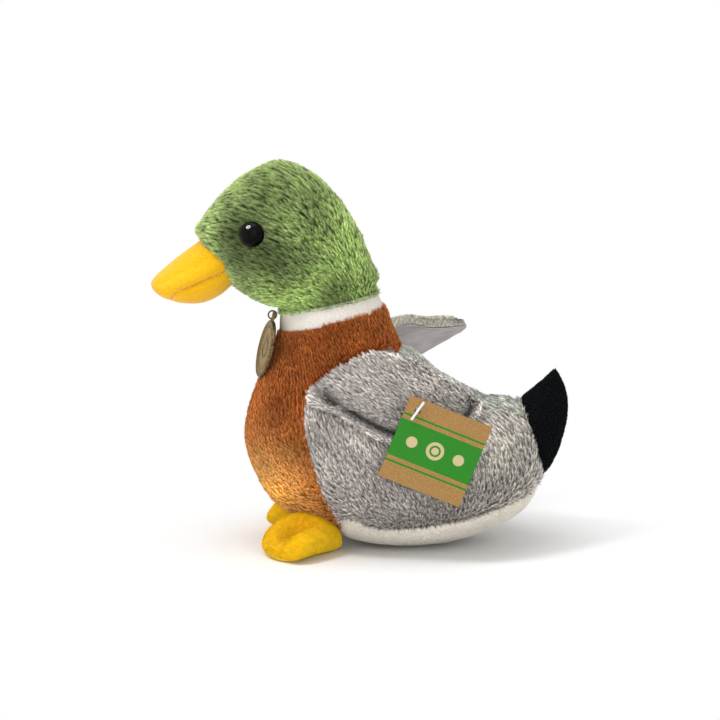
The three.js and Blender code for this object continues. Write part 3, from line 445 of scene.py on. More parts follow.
# Swing tag: generic print in millimetres from the card's middle
CARD_STACK_GAP = 0.3
CARD_BAND_HALF = 9.0
CARD_LINE_AT = 11.4
CARD_LINE_HALF = 0.5
CARD_SPOT = 8.4
CARD_DOT = 5.2
CARD_DOT_AT = 11.5
CARD_RING = (2.2, 0.9)
CARD_EDGE_BLUR = 0.15

# Medallion: steps of its front from the rim inwards, steps of its boss by radius, each with a depth
MEDALLION_EDGE = 0.3
RIM_STEPS = [(0, 0.3), (0.4, 0), (1.6, 0), (2.1, 0.55), (3.0, 0.6), (3.3, 0.2), (3.9, 0.2), (4.2, 0.6)]
BOSS_STEPS = [(5.2, 0.6), (4.8, 0.15), (4.0, 0.1), (3.4, 0.55), (1.6, 0.5), (0.01, 0.05)]
SPOKE_COUNT = 24
SPOKE_HEIGHT = 0.12
SPOKE_MARGIN = 0.1
BEAD_COUNT = 40
BEAD_RADIUS = 0.42
BEAD_INSET = 2.55
BEAD_DEPTH = 0.5
BEAD_ARC = (-1.5, 1.5, 7)
TAB_BEVEL = 0.2
MEDALLION_NUDGE = [0, 0.9, 1.0]

# Floor, in metres: half size, and where its fade to white begins and ends
FLOOR_SIZE = 4.0
FLOOR_FADE = (0.06, 0.155)
FLOOR_TONE = (0.95, 0.95, 0.95, 1)
WHITE = (1, 1, 1, 1)
WORLD_STRENGTH = 0.62

# Lamps, in metres and watts: place, aim, size, power
LAMPS = {
    "key": ((0.48, -0.70, 1.27), (0, 0, 0.10), 0.36, 8.0),
    "glint": ((0.48, -0.70, 1.27), (0, 0, 0.10), 0.75, 190.0),
    "fill": ((1.3, 0.25, 0.45), (0, 0, 0.05), 1.1, 3.4),
    "top": ((0.1, 0.0, 1.4), (0, 0, 0.0), 1.0, 5.0),
}

CAMERA_AIM = (0, -0.020, 0.089)
CAMERA_AZIMUTH = 90.0
CAMERA_ELEVATION = 8.4
CAMERA_DISTANCE = 0.940
CAMERA_LENS = 97.75
CAMERA_SENSOR = 36.0


def linear(code):
    """Linear colour of a hex code."""
    channels = [int(code[i:i + 2], 16) / 255 for i in (1, 3, 5)]
    return tuple(c / 12.92 if c <= 0.04045 else ((c + 0.055) / 1.055) ** 2.4 for c in channels) + (1.0,)


def colour_of(value):
    """Linear colour of a hex code or of a grey; any other colour stays as it is."""
    if isinstance(value, str):
        return linear(value)
    return value if isinstance(value, tuple) else (value, value, value, 1)


def assign(thing, **values):
    """Sets several properties of one thing, in order."""
    for key, value in values.items():
        setattr(thing, key, value)


# Forms
def curve(rows, places):
    """Rows at fractional places, on a Catmull-Rom curve."""
    rows = np.asarray(rows, float)
    places = np.asarray(places, float)
    last = len(rows) - 1
    start = np.clip(np.floor(places).astype(int), 0, last - 1)
    t = (places - start)[..., None]
    before, first, second, after = (rows[np.clip(start + k, 0, last)] for k in (-1, 0, 1, 2))
    bend = 3 * (first - second) + after - before
    swing = 2 * before - 5 * first + 4 * second - after
    return first + 0.5 * t * (second - before + t * (swing + t * bend))


def sized(shares, length, height, half_width, origin=(0.0, 0.0)):
    """Section rows in millimetres from a table of shares."""
    scale = np.array([length, height, length, height, half_width])
    return np.array(shares) * scale + np.array([*origin, *origin, 0.0])


def drawn_in(rows, depth, most=0.4):
    """Rows drawn in by a depth all round, but by no more than a share of their size."""
    span = np.hypot(rows[:, 2] - rows[:, 0], rows[:, 3] - rows[:, 1])
    step = np.minimum(depth, most * span) / span
    inner = rows.copy()
    for front, back in ((0, 2), (1, 3)):
        gap = rows[:, back] - rows[:, front]
        inner[:, front] += step * gap
        inner[:, back] -= step * gap
    inner[:, 4] = np.maximum(rows[:, 4] - depth, most * rows[:, 4])
    return inner


def loft_points(rows, places, angles):
    """Points of a lofted form; angles run round the section from its upper end towards +X."""
    front_y, front_z, back_y, back_z, half = np.moveaxis(curve(rows, places), -1, 0)
    along = np.cos(angles)
    return np.stack([
        half * np.sin(angles),
        (front_y + back_y) / 2 + along * (back_y - front_y) / 2,
        (front_z + back_z) / 2 + along * (back_z - front_z) / 2,
    ], -1)


def loft_point(rows, place, angle):
    """One point of a lofted form."""
    return loft_points(rows, np.array([place]), np.array([angle]))[0]


def section_ends(rows, place):
    """Upper and lower end of a section."""
    return loft_point(rows, place, 0.0), loft_point(rows, place, np.pi)


def ring_angles(count):
    """Angles of the points of a ring."""
    return np.arange(count) * 2 * np.pi / count


def loft(rows, steps, count):
    """Points and outward triangles of the closed form through all rows."""
    places = np.repeat(np.linspace(0, len(rows) - 1, steps + 1), count)
    points = loft_points(rows, places, np.tile(ring_angles(count), steps + 1))
    centres = [sum(section_ends(rows, place)) / 2 for place in (0.0, len(rows) - 1.0)]
    points = np.concatenate([points, centres])
    return points, facing_out(points, ring_faces(steps + 1, count))


def ring_faces(rings, count):
    """Triangles of stacked rings with a fan at each end, whose centres are the last two points."""
    a = (np.arange(rings - 1)[:, None] * count + np.arange(count)).ravel()
    b = (np.arange(rings - 1)[:, None] * count + (np.arange(count) + 1) % count).ravel()
    sides = np.concatenate([np.stack([a, b, b + count], 1), np.stack([a, b + count, a + count], 1)])
    rim = np.arange(count)
    following = (rim + 1) % count
    centre, last = rings * count, (rings - 1) * count
    first_fan = np.stack([np.full(count, centre), following, rim], 1)
    last_fan = np.stack([np.full(count, centre + 1), last + rim, last + following], 1)
    return np.concatenate([sides, first_fan, last_fan])


def faces_out(points, faces):
    """Whether the faces enclose a positive volume."""
    corners = points[faces]
    return np.einsum("ij,ij->i", corners[:, 0], np.cross(corners[:, 1], corners[:, 2])).sum() > 0


def normals_of(points, faces):
    """Outward normal at every point."""
    corners = points[faces]
    across = np.cross(corners[:, 1] - corners[:, 0], corners[:, 2] - corners[:, 0])
    total = np.zeros_like(points)
    for k in range(3):
        np.add.at(total, faces[:, k], across)
    total /= np.linalg.norm(total, axis=1, keepdims=True) + 1e-12
    return total if faces_out(points, faces) else -total


def facing_out(points, faces):
    """Faces turned so that the form's volume is positive."""
    return faces if faces_out(points, faces) else faces[:, ::-1]


def line_of(shares, length, height, origin=(0.0, 0.0), points=60):
    """A smooth line in side view."""
    rows = curve(shares, np.linspace(0, len(shares) - 1, points))
    return rows * np.array([length, height]) + np.array(origin)


def side_of(line, points, inside):
    """Signed distance of points to a side-view line, positive on the side of the point inside."""
    def signed(flat):
        start, end = line[:-1], line[1:]
        step = end - start
        gap = flat[:, None, :] - start
        t = np.clip((gap * step).sum(-1) / (step ** 2).sum(-1), 0, 1)
        away = gap - t[..., None] * step
        distance = np.linalg.norm(away, axis=-1)
        nearest = distance.argmin(1)
        rows = np.arange(len(flat))
        turn = step[nearest, 0] * gap[rows, nearest, 1] - step[nearest, 1] * gap[rows, nearest, 0]
        return distance[rows, nearest] * np.sign(turn)

    return signed(points[:, 1:]) * np.sign(signed(np.array([inside], float))[0])


def snapped(points, faces, seam):
    """Points moved along the mesh onto the seam, so that no triangle lies across it."""
    value = seam(points)
    edges = np.concatenate([faces[:, [0, 1]], faces[:, [1, 2]], faces[:, [2, 0]]])
    crossing = edges[value[edges[:, 0]] * value[edges[:, 1]] < 0]
    share = value[crossing[:, 0]] / (value[crossing[:, 0]] - value[crossing[:, 1]])
    mover = np.where(share < 0.5, crossing[:, 0], crossing[:, 1])
    start, end = points[crossing[:, 0]], points[crossing[:, 1]]
    moved = points.copy()
    moved[mover] = start + share[:, None] * (end - start)
    return moved


def seam_value(points, faces, seam):
    """Mean seam value of each face, with the points on the seam counted as nought."""
    value = seam(points)
    value[np.abs(value) < 1e-3] = 0
    return value[faces].mean(1)


def bell(value, middle, width):
    """A smooth bump, 1 at the middle."""
    return np.exp(-((value - middle) / width) ** 2)


def pressed(points, normals, distance, depth, width):
    """Points pushed in along their normals, deepest where the distance is nought."""
    return points - normals * (depth * bell(distance, 0, width))[:, None]


def dented(points, normals, dents, mirror=True):
    """Points pushed in or out by rounded dents: centre, radius, depth."""
    for centre, radius, depth in dents:
        sides = [centre, (-centre[0], *centre[1:])] if mirror and centre[0] else [centre]
        for place in sides:
            distance = np.linalg.norm(points - np.array(place), axis=1)
            points = pressed(points, normals, distance, depth, radius)
    return points


def rotation(degrees, axis):
    """Rotation matrix about an axis."""
    return np.array(Matrix.Rotation(math.radians(degrees), 3, axis))


# Objects
def mesh_object(name, points, faces, materials):
    """A smooth-shaded object from points in millimetres."""
    data = bpy.data.meshes.new(name)
    data.from_pydata((np.asarray(points) * MM).tolist(), [], np.asarray(faces).tolist())
    data.validate()
    data.shade_smooth()
    for material in materials:
        data.materials.append(material)
    made = bpy.data.objects.new(name, data)
    bpy.context.scene.collection.objects.link(made)
    return made


def part_object(name, points, faces, chosen, materials):
    """An object of the chosen faces with their own points."""
    used = np.unique(faces[chosen])
    place = np.full(len(points), -1)
    place[used] = np.arange(len(used))
    return mesh_object(name, points[used], place[faces[chosen]], materials)


def hemmed(made, depth=HEM_DEPTH):
    """Turns the open edges of a panel inwards, as a sewn seam does."""
    work = bmesh.new()
    work.from_mesh(made.data)
    work.normal_update()
    rim = [edge for edge in work.edges if edge.is_boundary]
    inward = {vert: -vert.normal * depth * MM for edge in rim for vert in edge.verts}
    grown = bmesh.ops.extrude_edge_only(work, edges=rim)
    new = [item for item in grown["geom"] if isinstance(item, bmesh.types.BMVert)]
    old = {vert.co.copy().freeze(): step for vert, step in inward.items()}
    for vert in new:
        vert.co += old.get(vert.co.copy().freeze(), Vector())
    for face in work.faces:
        face.smooth = True
    work.to_mesh(made.data)
    work.free()
    return made


def settled(piece, body, stands_for):
    """Hides the solids that a piece stands for, and attaches the piece to its body."""
    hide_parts(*stands_for)
    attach(piece, body)


def dressed(name, material, smooth=False):
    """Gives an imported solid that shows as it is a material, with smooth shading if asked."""
    piece = frame["nodes"][name]
    piece.data.materials.clear()
    piece.data.materials.append(material)
    if smooth:
        for polygon in piece.data.polygons:
            polygon.use_smooth = True


def vertex_places(data):
    """A mesh's vertices in millimetres."""
    flat = np.empty(len(data.vertices) * 3)
    data.vertices.foreach_get("co", flat)
    return flat.reshape(-1, 3) / MM


def corners_of(data):
    """The vertex at each corner of a mesh's faces."""
    corner = np.empty(len(data.loops), int)
    data.loops.foreach_get("vertex_index", corner)
    return corner


# Materials
def feed(tree, entry, value):
    """Links a socket to a node's input, or sets the input to a value."""
    if isinstance(value, bpy.types.NodeSocket):
        tree.links.new(value, entry)
    else:
        entry.default_value = value


def node(tree, kind, **values):
    """A node with its properties; a name after in_ is an input, with spaces written as underscores."""
    made = tree.nodes.new(kind)
    for key, value in values.items():
        if key.startswith("in_"):
            feed(tree, made.inputs[key[3:].replace("_", " ")], value)
        else:
            setattr(made, key, value)
    return made


def nodes_of(name, **inputs):
    """A new node material, its tree, its shader with some inputs set, and the object's coordinates."""
    material = bpy.data.materials.new(name)
    material.use_nodes = True
    tree = material.node_tree
    shader = tree.nodes["Principled BSDF"]
    for key, value in inputs.items():
        shader.inputs[key.replace("_", " ")].default_value = value
    return material, tree, shader, node(tree, "ShaderNodeTexCoord").outputs["Object"]


def ramp(tree, factor, stops):
    """A colour ramp fed by a socket, through places with hex codes, greys or colours."""
    made = node(tree, "ShaderNodeValToRGB", in_Fac=factor)
    while len(made.color_ramp.elements) < len(stops):
        made.color_ramp.elements.new(1)
    for element, (place, colour) in zip(made.color_ramp.elements, stops):
        element.position = place
        element.color = colour_of(colour)
    return made.outputs["Color"]


def noise(tree, vector, size, detail=2.0, stretch=(1, 1, 1)):
    """Noise whose features are about size millimetres across."""
    mapped = node(tree, "ShaderNodeMapping", in_Vector=vector, in_Scale=stretch)
    return node(tree, "ShaderNodeTexNoise", in_Vector=mapped.outputs["Vector"], in_Scale=1 / (size * MM),
                in_Detail=detail).outputs["Fac"]


def mixed(tree, factor, first, second, blend="MULTIPLY"):
    """Two colours multiplied or mixed; each is a socket or a colour."""
    made = node(tree, "ShaderNodeMix", data_type="RGBA", blend_type=blend)
    for index, value in ((0, factor), (6, first), (7, second)):
        feed(tree, made.inputs[index], value)
    return made.outputs[2]


def maths(tree, operation, *values):
    """A maths node on sockets or numbers."""
    made = node(tree, "ShaderNodeMath", operation=operation)
    for index, value in enumerate(values):
        feed(tree, made.inputs[index], value)
    return made.outputs[0]


def bumped(tree, shader, height, strength, depth):
    """Relief on a shader, depth in millimetres."""
    made = node(tree, "ShaderNodeBump", in_Height=height, in_Strength=strength, in_Distance=depth * MM)
    tree.links.new(made.outputs["Normal"], shader.inputs["Normal"])


def grained(name, size, stops, stretch=(1, 1, 1), relief=None, **inputs):
    """A material coloured by noise of one size, with relief from it by strength and depth."""
    material, tree, shader, where = nodes_of(name, **inputs)
    grain = noise(tree, where, size, stretch=stretch)
    tree.links.new(ramp(tree, grain, stops), shader.inputs["Base Color"])
    if relief:
        bumped(tree, shader, grain, *relief)
    return material


def shaded(made, name, extra=1.0):
    """A colour layer of painted light and shade that lightens and darkens the pile."""
    data = made.data
    places = vertex_places(data)
    places[:, 0] = np.abs(places[:, 0])
    gain = np.ones((len(places), 3))
    for place, reach, change in PAINTED_LIGHT_PATCHES.get(name, []):
        away = np.linalg.norm(places - np.array(place), axis=1)
        gain += bell(away, 0, reach)[:, None] * np.array(change)
    gain *= np.broadcast_to(np.asarray(extra, float), len(places))[:, None]
    corner = corners_of(data)
    layer = data.color_attributes.new(name="shade", type="BYTE_COLOR", domain="CORNER")
    colours = np.column_stack([np.clip(gain / SHADE_RANGE, 0, 1)[corner], np.ones(len(corner))])
    layer.data.foreach_set("color", colours.ravel())
    return made


def varied(tree, where, colour, size, spread):
    """A colour with the piece's layer of painted light and shade, and soft patches by noise."""
    shade = node(tree, "ShaderNodeAttribute", attribute_name="shade").outputs["Color"]
    patches = maths(tree, "SUBTRACT", noise(tree, where, size, 1.5), 0.5)
    gain = maths(tree, "MULTIPLY", maths(tree, "MULTIPLY_ADD", patches, spread, 1.0), SHADE_RANGE)
    scaled = node(tree, "ShaderNodeVectorMath", operation="SCALE", in_Scale=gain)
    tree.links.new(mixed(tree, 1.0, colour, shade), scaled.inputs[0])
    return scaled.outputs[0]


def comb_of(tree):
    """The comb map in a material."""
    return node(tree, "ShaderNodeUVMap", uv_map="comb").outputs[0]


def ribbed(tree, colour, comb, where):
    """A colour with ribs along the comb map, stronger with height."""
    ribs = node(tree, "ShaderNodeTexWave", bands_direction="X", in_Vector=comb,
                in_Scale=math.pi * COMB_UNIT / (10 * RIB_WIDTH), in_Distortion=RIB_WAVER, in_Detail=2.0,
                in_Detail_Scale=1.5).outputs["Fac"]
    height = node(tree, "ShaderNodeSeparateXYZ")
    tree.links.new(where, height.inputs[0])
    upper = node(tree, "ShaderNodeMapRange", in_Value=height.outputs["Z"], in_From_Min=RIB_HEIGHTS[0] * MM,
                 in_From_Max=RIB_HEIGHTS[1] * MM, in_To_Min=RIB_SHARES[0], in_To_Max=RIB_SHARES[1])
    return mixed(tree, upper.outputs["Result"], colour, ramp(tree, ribs, RIB_GAINS))


def plush_materials(name):
    """The cloth under the pile, and the pile's strands."""
    colours = PLUSH_COLOURS[name]
    kind = "short" if name in SHORT_PILES else "combed"
    tuft, patch, spread = (sizes.get(name, sizes[kind]) for sizes in (TUFT_SIZES, PATCH_SIZES, TONE_SPREADS))
    stretch = COMB_STRETCHES.get(name, COMB_STRETCH)
    dull = name == "tail"
    cloth, tree, shader, where = nodes_of(name + "_plush", Roughness=0.95, Specular_IOR_Level=0.1,
                                          Sheen_Weight=0.0 if dull else 0.2)
    if kind == "short":
        tufts = noise(tree, where, tuft)
    else:
        tufts = noise(tree, comb_of(tree), tuft, stretch=stretch)
    colour = ramp(tree, tufts, list(zip(CLOTH_STOPS[kind], colours)))
    tree.links.new(varied(tree, where, colour, patch, spread), shader.inputs["Base Color"])
    bumped(tree, shader, tufts, *CLOTH_RELIEFS[kind])
    strand, tree, shader, where = nodes_of(name + "_pile", Roughness=0.65, Sheen_Weight=0.0,
                                           Specular_IOR_Level=0.05 if dull else 0.2)
    hair = node(tree, "ShaderNodeHairInfo")
    # Darker towards the root: partly the fibres' own colour, partly painted shade deep in the pile
    along = ramp(tree, hair.outputs["Intercept"], list(zip(STRAND_STOPS, colours)))
    own = mixed(tree, 1.0, along, ramp(tree, hair.outputs["Random"], STRAND_GAINS))
    if kind == "combed":
        comb = comb_of(tree)
        streaks = noise(tree, comb, tuft, 1.0, stretch)
        own = mixed(tree, 1.0, own, ramp(tree, streaks, STREAK_GAINS.get(name, STREAK_GAINS["side"])))
        if name == "breast":
            own = ribbed(tree, own, comb, where)
    tree.links.new(varied(tree, where, own, patch, spread), shader.inputs["Base Color"])
    return [cloth, strand]


# Pile
def with_comb(made, u, v):
    """Lays a comb map over a piece."""
    made.data.uv_layers.new(name="comb").data.foreach_set("uv", np.stack([u, v], 1).ravel())
    return made


def combed(made, start, end, girth=COMB_GIRTH):
    """A map whose lines run over the piece from one place to another, for its pile to follow."""
    data = made.data
    places, corner = vertex_places(data), corners_of(data)
    totals = np.empty(len(data.polygons), int)
    data.polygons.foreach_get("loop_total", totals)
    first = np.repeat(np.cumsum(totals) - totals, totals)
    start, end = np.array(start, float), np.array(end, float)
    axis = (end - start) / np.linalg.norm(end - start)
    aside = np.cross(axis, [1.0, 0, 0])
    aside /= np.linalg.norm(aside)
    gap = places - start
    turn = np.arctan2(gap @ np.cross(axis, aside), gap @ aside) / (2 * np.pi)
    way = np.linalg.norm(gap, axis=1) - np.linalg.norm(places - end, axis=1)
    u = turn[corner]
    u = (u - np.round(u - u[first])) * 2 * np.pi * girth / COMB_UNIT
    return with_comb(made, u, -way[corner] / (2 * COMB_UNIT))


def combed_flat(made, places, way):
    """A comb map in one direction of the side view, taken from the piece's places as it lay on the side."""
    corner = corners_of(made.data)
    way = np.array(way, float) / np.linalg.norm(way)
    side = places[:, 1:] / COMB_UNIT
    return with_comb(made, (side @ [way[1], -way[0]])[corner], (-side @ way)[corner])


def trimmed(made, share):
    """A vertex group that sets how long the pile is at each point."""
    group = made.vertex_groups.new(name="pile_length")
    for index, value in enumerate(np.clip(share, PILE_SHORTEST_SHARE, 1.0)):
        group.add([index], float(value), "REPLACE")
    return made


def pile(made, seed, density, length, strand=STRAND_RADIUS, children=13, clump=0.82):
    """Hair over a piece: strands per square millimetre, length in millimetres, laid along the comb map."""
    area = sum(polygon.area for polygon in made.data.polygons) / MM ** 2
    made.modifiers.new("pile", "PARTICLE_SYSTEM")
    system = made.particle_systems[-1]
    system.seed = seed
    if "pile_length" in made.vertex_groups:
        system.vertex_group_length = "pile_length"
    assign(system.settings, type="HAIR", count=int(area * density * (1.0)), hair_step=3,
           use_advanced_hair=True, emit_from="FACE", use_emit_random=True,
           normal_factor=PILE_RISE_SHARE * length * MM / 4, tangent_factor=PILE_LAY_SHARE * length * MM / 4,
           factor_random=PILE_SCATTER_SHARE * length * MM / 4, material=2, child_type="INTERPOLATED",
           child_percent=1, rendered_child_count=children, clump_factor=clump, clump_shape=0.1,
           roughness_1=STRAND_WAVE, roughness_1_size=STRAND_WAVE_SIZE, roughness_endpoint=STRAND_END_WAVE,
           child_length=1.0, radius_scale=MM, root_radius=strand, tip_radius=strand * STRAND_TIP_SHARE,
           render_step=3, display_step=2)
    return made


def moved_by_trial(name, points, faces, held):
    """Cloth over its filling: a coarse copy is blown up between its held places, and the points follow.

    held gives, for points, how firmly they are kept, from 0 to 1.
    """
    trial = mesh_object(name + "_trial", points, faces, [])
    trial.data.polygons.foreach_set("use_smooth", np.zeros(len(trial.data.polygons), bool))
    squares = trial.modifiers.new("squares", "REMESH")
    assign(squares, mode="VOXEL", voxel_size=TRIAL_SQUARE * MM)
    coarse = bpy.data.meshes.new_from_object(trial.evaluated_get(bpy.context.evaluated_depsgraph_get()))
    trial.modifiers.clear()
    trial.data = coarse
    rest = vertex_places(coarse)
    group = trial.vertex_groups.new(name="held")
    for index, value in enumerate(held(rest)):
        if value > 0.01:
            group.add([index], float(min(value, 1)), "REPLACE")
    cloth = trial.modifiers.new("cloth", "CLOTH")
    assign(cloth.settings, quality=5, mass=0.1, compression_stiffness=12, tension_stiffness=12,
           shear_stiffness=4, bending_stiffness=0.3, use_pressure=True, uniform_pressure_force=TRIAL_PRESSURE,
           vertex_group_mass="held", pin_stiffness=2, shrink_min=-TRIAL_SLACK)
    cloth.settings.effector_weights.gravity = 0
    cloth.collision_settings.use_self_collision = False
    assign(cloth.point_cache, frame_start=1, frame_end=TRIAL_FRAMES)
    for step in range(1, TRIAL_FRAMES + 1):
        bpy.context.scene.frame_set(step)
    shown = trial.evaluated_get(bpy.context.evaluated_depsgraph_get()).to_mesh()
    move = vertex_places(shown) - rest
    bpy.data.objects.remove(trial)
    bpy.context.scene.frame_set(1)
    far = np.linalg.norm(move, axis=1, keepdims=True)
    move *= TRIAL_MOVE * np.tanh(far / TRIAL_MOVE) / np.maximum(far, 1e-9)
    tree = KDTree(len(rest))
    for index, place in enumerate(rest):
        tree.insert(place, index)
    tree.balance()
    shift = np.empty_like(points)
    for index, place in enumerate(points):
        near = tree.find_n(place, 6)
        weights = np.array([1 / (item[2] + 1.0) ** 2 for item in near])
        shift[index] = weights @ move[[item[1] for item in near]] / weights.sum()
    return points + shift


plush = {name: plush_materials(name) for name in PLUSH_COLOURS}

# Rows of the main forms
torso_rows = sized(TORSO_SHARES, TORSO_LENGTH, TORSO_HEIGHT, TORSO_WIDTH / 2, (0, -REST_CUT))
front_y, front_z, back_y, back_z, _ = torso_rows[COLLAR_ROW]
collar_low = np.array([0.0, (front_y + back_y) / 2, (front_z + back_z) / 2])
neck_axis = np.array([0.0, front_z - back_z, back_y - front_y])
neck_axis /= np.linalg.norm(neck_axis)
collar_top = collar_low + COLLAR_HEIGHT * neck_axis
head_rows = sized(HEAD_SHARES, HEAD_LENGTH, HEAD_HEIGHT, HEAD_WIDTH / 2, collar_top[1:])
beak_root = collar_top[1:] + np.array(BEAK_ROOT_SHARE) * [HEAD_LENGTH, HEAD_HEIGHT]
beak_rows = sized(BEAK_SHARES, BEAK_LENGTH, BEAK_HEIGHT, BEAK_WIDTH / 2, beak_root)
card_hole = np.array([CARD_HOLE_SHARE[0] * TORSO_LENGTH, CARD_HOLE_SHARE[1] * TORSO_HEIGHT])
card_inner = vertex_places(frame["nodes"]["tag_card"].data)[:, 0].min()


def torso_place(shares):
    """A place in side view from shares of the torso's length and height."""
    return np.array(shares) * [TORSO_LENGTH, TORSO_HEIGHT]


def torso_line(shares):
    """A line in side view from shares of the torso's length and height."""
    return line_of(shares, TORSO_LENGTH, TORSO_HEIGHT)


def torso_point(place, degrees, lift=0.0):
    """Points over the torso's surface, lifted off it."""
    place, angle = np.broadcast_arrays(np.asarray(place, float), np.radians(np.asarray(degrees, float)))
    step = SLOPE_STEP
    along = loft_points(torso_rows, place + step, angle) - loft_points(torso_rows, place - step, angle)
    around = loft_points(torso_rows, place, angle + step) - loft_points(torso_rows, place, angle - step)
    normal = np.cross(along, around)
    normal /= np.linalg.norm(normal, axis=-1, keepdims=True)
    normal *= np.sign(normal[..., :1] * np.sin(angle)[..., None] + 1e-12)
    return loft_points(torso_rows, place, angle) + normal * np.asarray(lift, float)[..., None]


def clear_of_card(points):
    """How long the pile may be, shorter where the swing tag comes close over it."""
    lean = math.radians(CARD_ANGLE)
    gap = points[:, 1:] - card_hole
    along = gap[:, 0] * math.cos(lean) - gap[:, 1] * math.sin(lean)
    down = -gap[:, 0] * math.sin(lean) - gap[:, 1] * math.cos(lean)
    half = CARD_SIZE / 2
    middle = half - CARD_HOLE_INSET
    away = np.maximum(np.abs(along - middle), np.abs(down - middle)) - half
    beyond = (away + CARD_PILE_BORDER) / CARD_PILE_FADE
    room = (card_inner - points[:, 0] - CARD_PILE_MARGIN) / CARD_PILE_ROOM
    share = np.maximum(np.clip(beyond, CARD_SHORTEST_SHARE, 1), np.clip(room, CARD_SHORTEST_SHARE, 1))
    return np.where(points[:, 0] > 0, share, 1.0)


# Torso panels
def torso_seams():
    """Each seam as a function of points, positive on the side of the panel it is named for."""
    def seam_of(name, shares):
        line, inside = torso_line(shares), torso_place(SEAM_SIDE_SHARES[name])
        return lambda p: side_of(line, p, inside)

    half_strip = BACK_STRIP_WIDTH / 2
    return {
        "tail": seam_of("tail", TAIL_SEAM_SHARES),
        "belly": seam_of("belly", BELLY_SEAM_SHARES),
        "breast": seam_of("breast", BREAST_SEAM_SHARES),
        "back": lambda p: np.where(p[:, 2] > TORSO_HEIGHT / 2, half_strip - np.abs(p[:, 0]), -half_strip),
    }


def build_torso():
    points, faces = loft(drawn_in(torso_rows, PILE_DEPTH), *TORSO_MESH)
    seams = torso_seams()
    for seam in seams.values():
        points = snapped(points, faces, seam)
    value = {name: seam_value(points, faces, seam) for name, seam in seams.items()}
    tail = value["tail"] > 0
    belly = ~tail & (value["belly"] > 0)
    breast = ~tail & ~belly & (value["breast"] > 0)
    rest = ~tail & ~belly & ~breast
    back = rest & (value["back"] > 0)
    middle = points[faces][:, :, 0].mean(1)
    panels = {
        "breast_plush": (breast, "breast", ["breast_panel", "torso_stuffing"]),
        "left_side_plush": (rest & ~back & (middle > 0), "side", ["left_side_panel"]),
        "right_side_plush": (rest & ~back & (middle < 0), "side", ["right_side_panel"]),
        "back_plush": (back, "back", ["back_panel"]),
        "belly_plush": (belly, "belly", ["belly_panel", "pellet_bag"]),
        "tail_plush": (tail, "tail", ["tail_panel"]),
    }
    normals = normals_of(points, faces)
    at = {name: seam(points) for name, seam in seams.items()}

    def held(p):
        nearest = np.minimum.reduce([np.abs(seams[name](p)) for name in ("tail", "belly", "breast")])
        seam = np.clip(TORSO_SEAM_HOLD[0] - nearest / TORSO_SEAM_HOLD[1], 0, 1)
        neck = np.clip(((p - collar_low) @ neck_axis + TORSO_NECK_HOLD[0]) / TORSO_NECK_HOLD[1], 0, 1)
        floor = np.clip((TORSO_FLOOR_HOLD[0] - p[:, 2]) / TORSO_FLOOR_HOLD[1], 0, 1)
        return np.maximum.reduce([seam, neck, floor])

    shape = moved_by_trial("torso", points, faces, held)
    before_tail = at["tail"] < 1
    over_belly = (at["belly"] < 1) & before_tail
    upper_back = (at["breast"] < 0) & before_tail & (points[:, 2] > TORSO_HEIGHT / 2)
    for part, name, share in ((True, "tail", 1.0), (before_tail, "belly", 1.0), (over_belly, "breast", 1.0),
                              (upper_back, "back", BACK_SEAM_SHARE)):
        shape = pressed(shape, normals, np.where(part, at[name], 99), share * SEAM_DEPTH, SEAM_WIDTH)
    shape[:, 2] = np.maximum(shape[:, 2], BELLY_CLEARANCE)
    inside = ((shape - collar_low) @ neck_axis) < TORSO_TUCK
    neck, under = collar_top + TORSO_COMB_START, [0, *torso_place(TORSO_COMB_END_SHARE)]
    for seed, (name, (chosen, colour, stands_for)) in enumerate(panels.items(), STRAND_SEEDS["torso"]):
        kept = chosen & inside[faces].all(1)
        piece = shaded(hemmed(part_object(name, shape, faces, kept, plush[colour])), colour)
        places = vertex_places(piece.data)
        nape = np.linalg.norm((places - NAPE_SEAM) * NAPE_SQUEEZE, axis=1)
        trimmed(piece, clear_of_card(places) * np.clip(nape / NAPE_REACH, NAPE_SHORTEST_SHARE, 1))
        pile(combed(piece, neck, under), seed, PILE_COUNT, TORSO_PILE_LENGTHS.get(colour, TORSO_PILE_LENGTH))
        settled(piece, "torso", stands_for)


build_torso()


# Collar
def build_collar():
    low, high = torso_rows[COLLAR_ROW], head_rows[1]
    rows = drawn_in(np.array([2 * low - high, low, (low + high) / 2, high, 2 * high - low]), PILE_DEPTH)
    rows[2, 4] += COLLAR_BULGE
    steps, count = COLLAR_MESH
    places = np.linspace(*COLLAR_PLACES, steps)
    grid = loft_points(rows, np.repeat(places, count), np.tile(ring_angles(count), len(places)))
    faces = ring_faces(len(places), count)
    faces = faces[(faces < len(grid)).all(1)]
    normals = normals_of(np.concatenate([grid, grid[:2]]), faces)[:len(grid)]
    if (normals[:, 0] * grid[:, 0]).sum() < 0:
        faces, normals = faces[:, ::-1], -normals
    height = (grid - collar_low) @ neck_axis
    middle = np.abs(height / COLLAR_HEIGHT - 0.5) * 2
    shape = grid - normals * (SEAM_DEPTH * np.clip(middle, 0, 1) ** 6)[:, None]
    piece = shaded(mesh_object("collar_plush", shape, faces, plush["collar"]), "collar")
    reach = COLLAR_COMB_REACH * neck_axis
    combed(piece, collar_top + reach, collar_low - reach)
    pile(piece, STRAND_SEEDS["collar"], **COLLAR_PILE)
    settled(piece, "neck", ["collar_band", "neck_stuffing"])


build_collar()


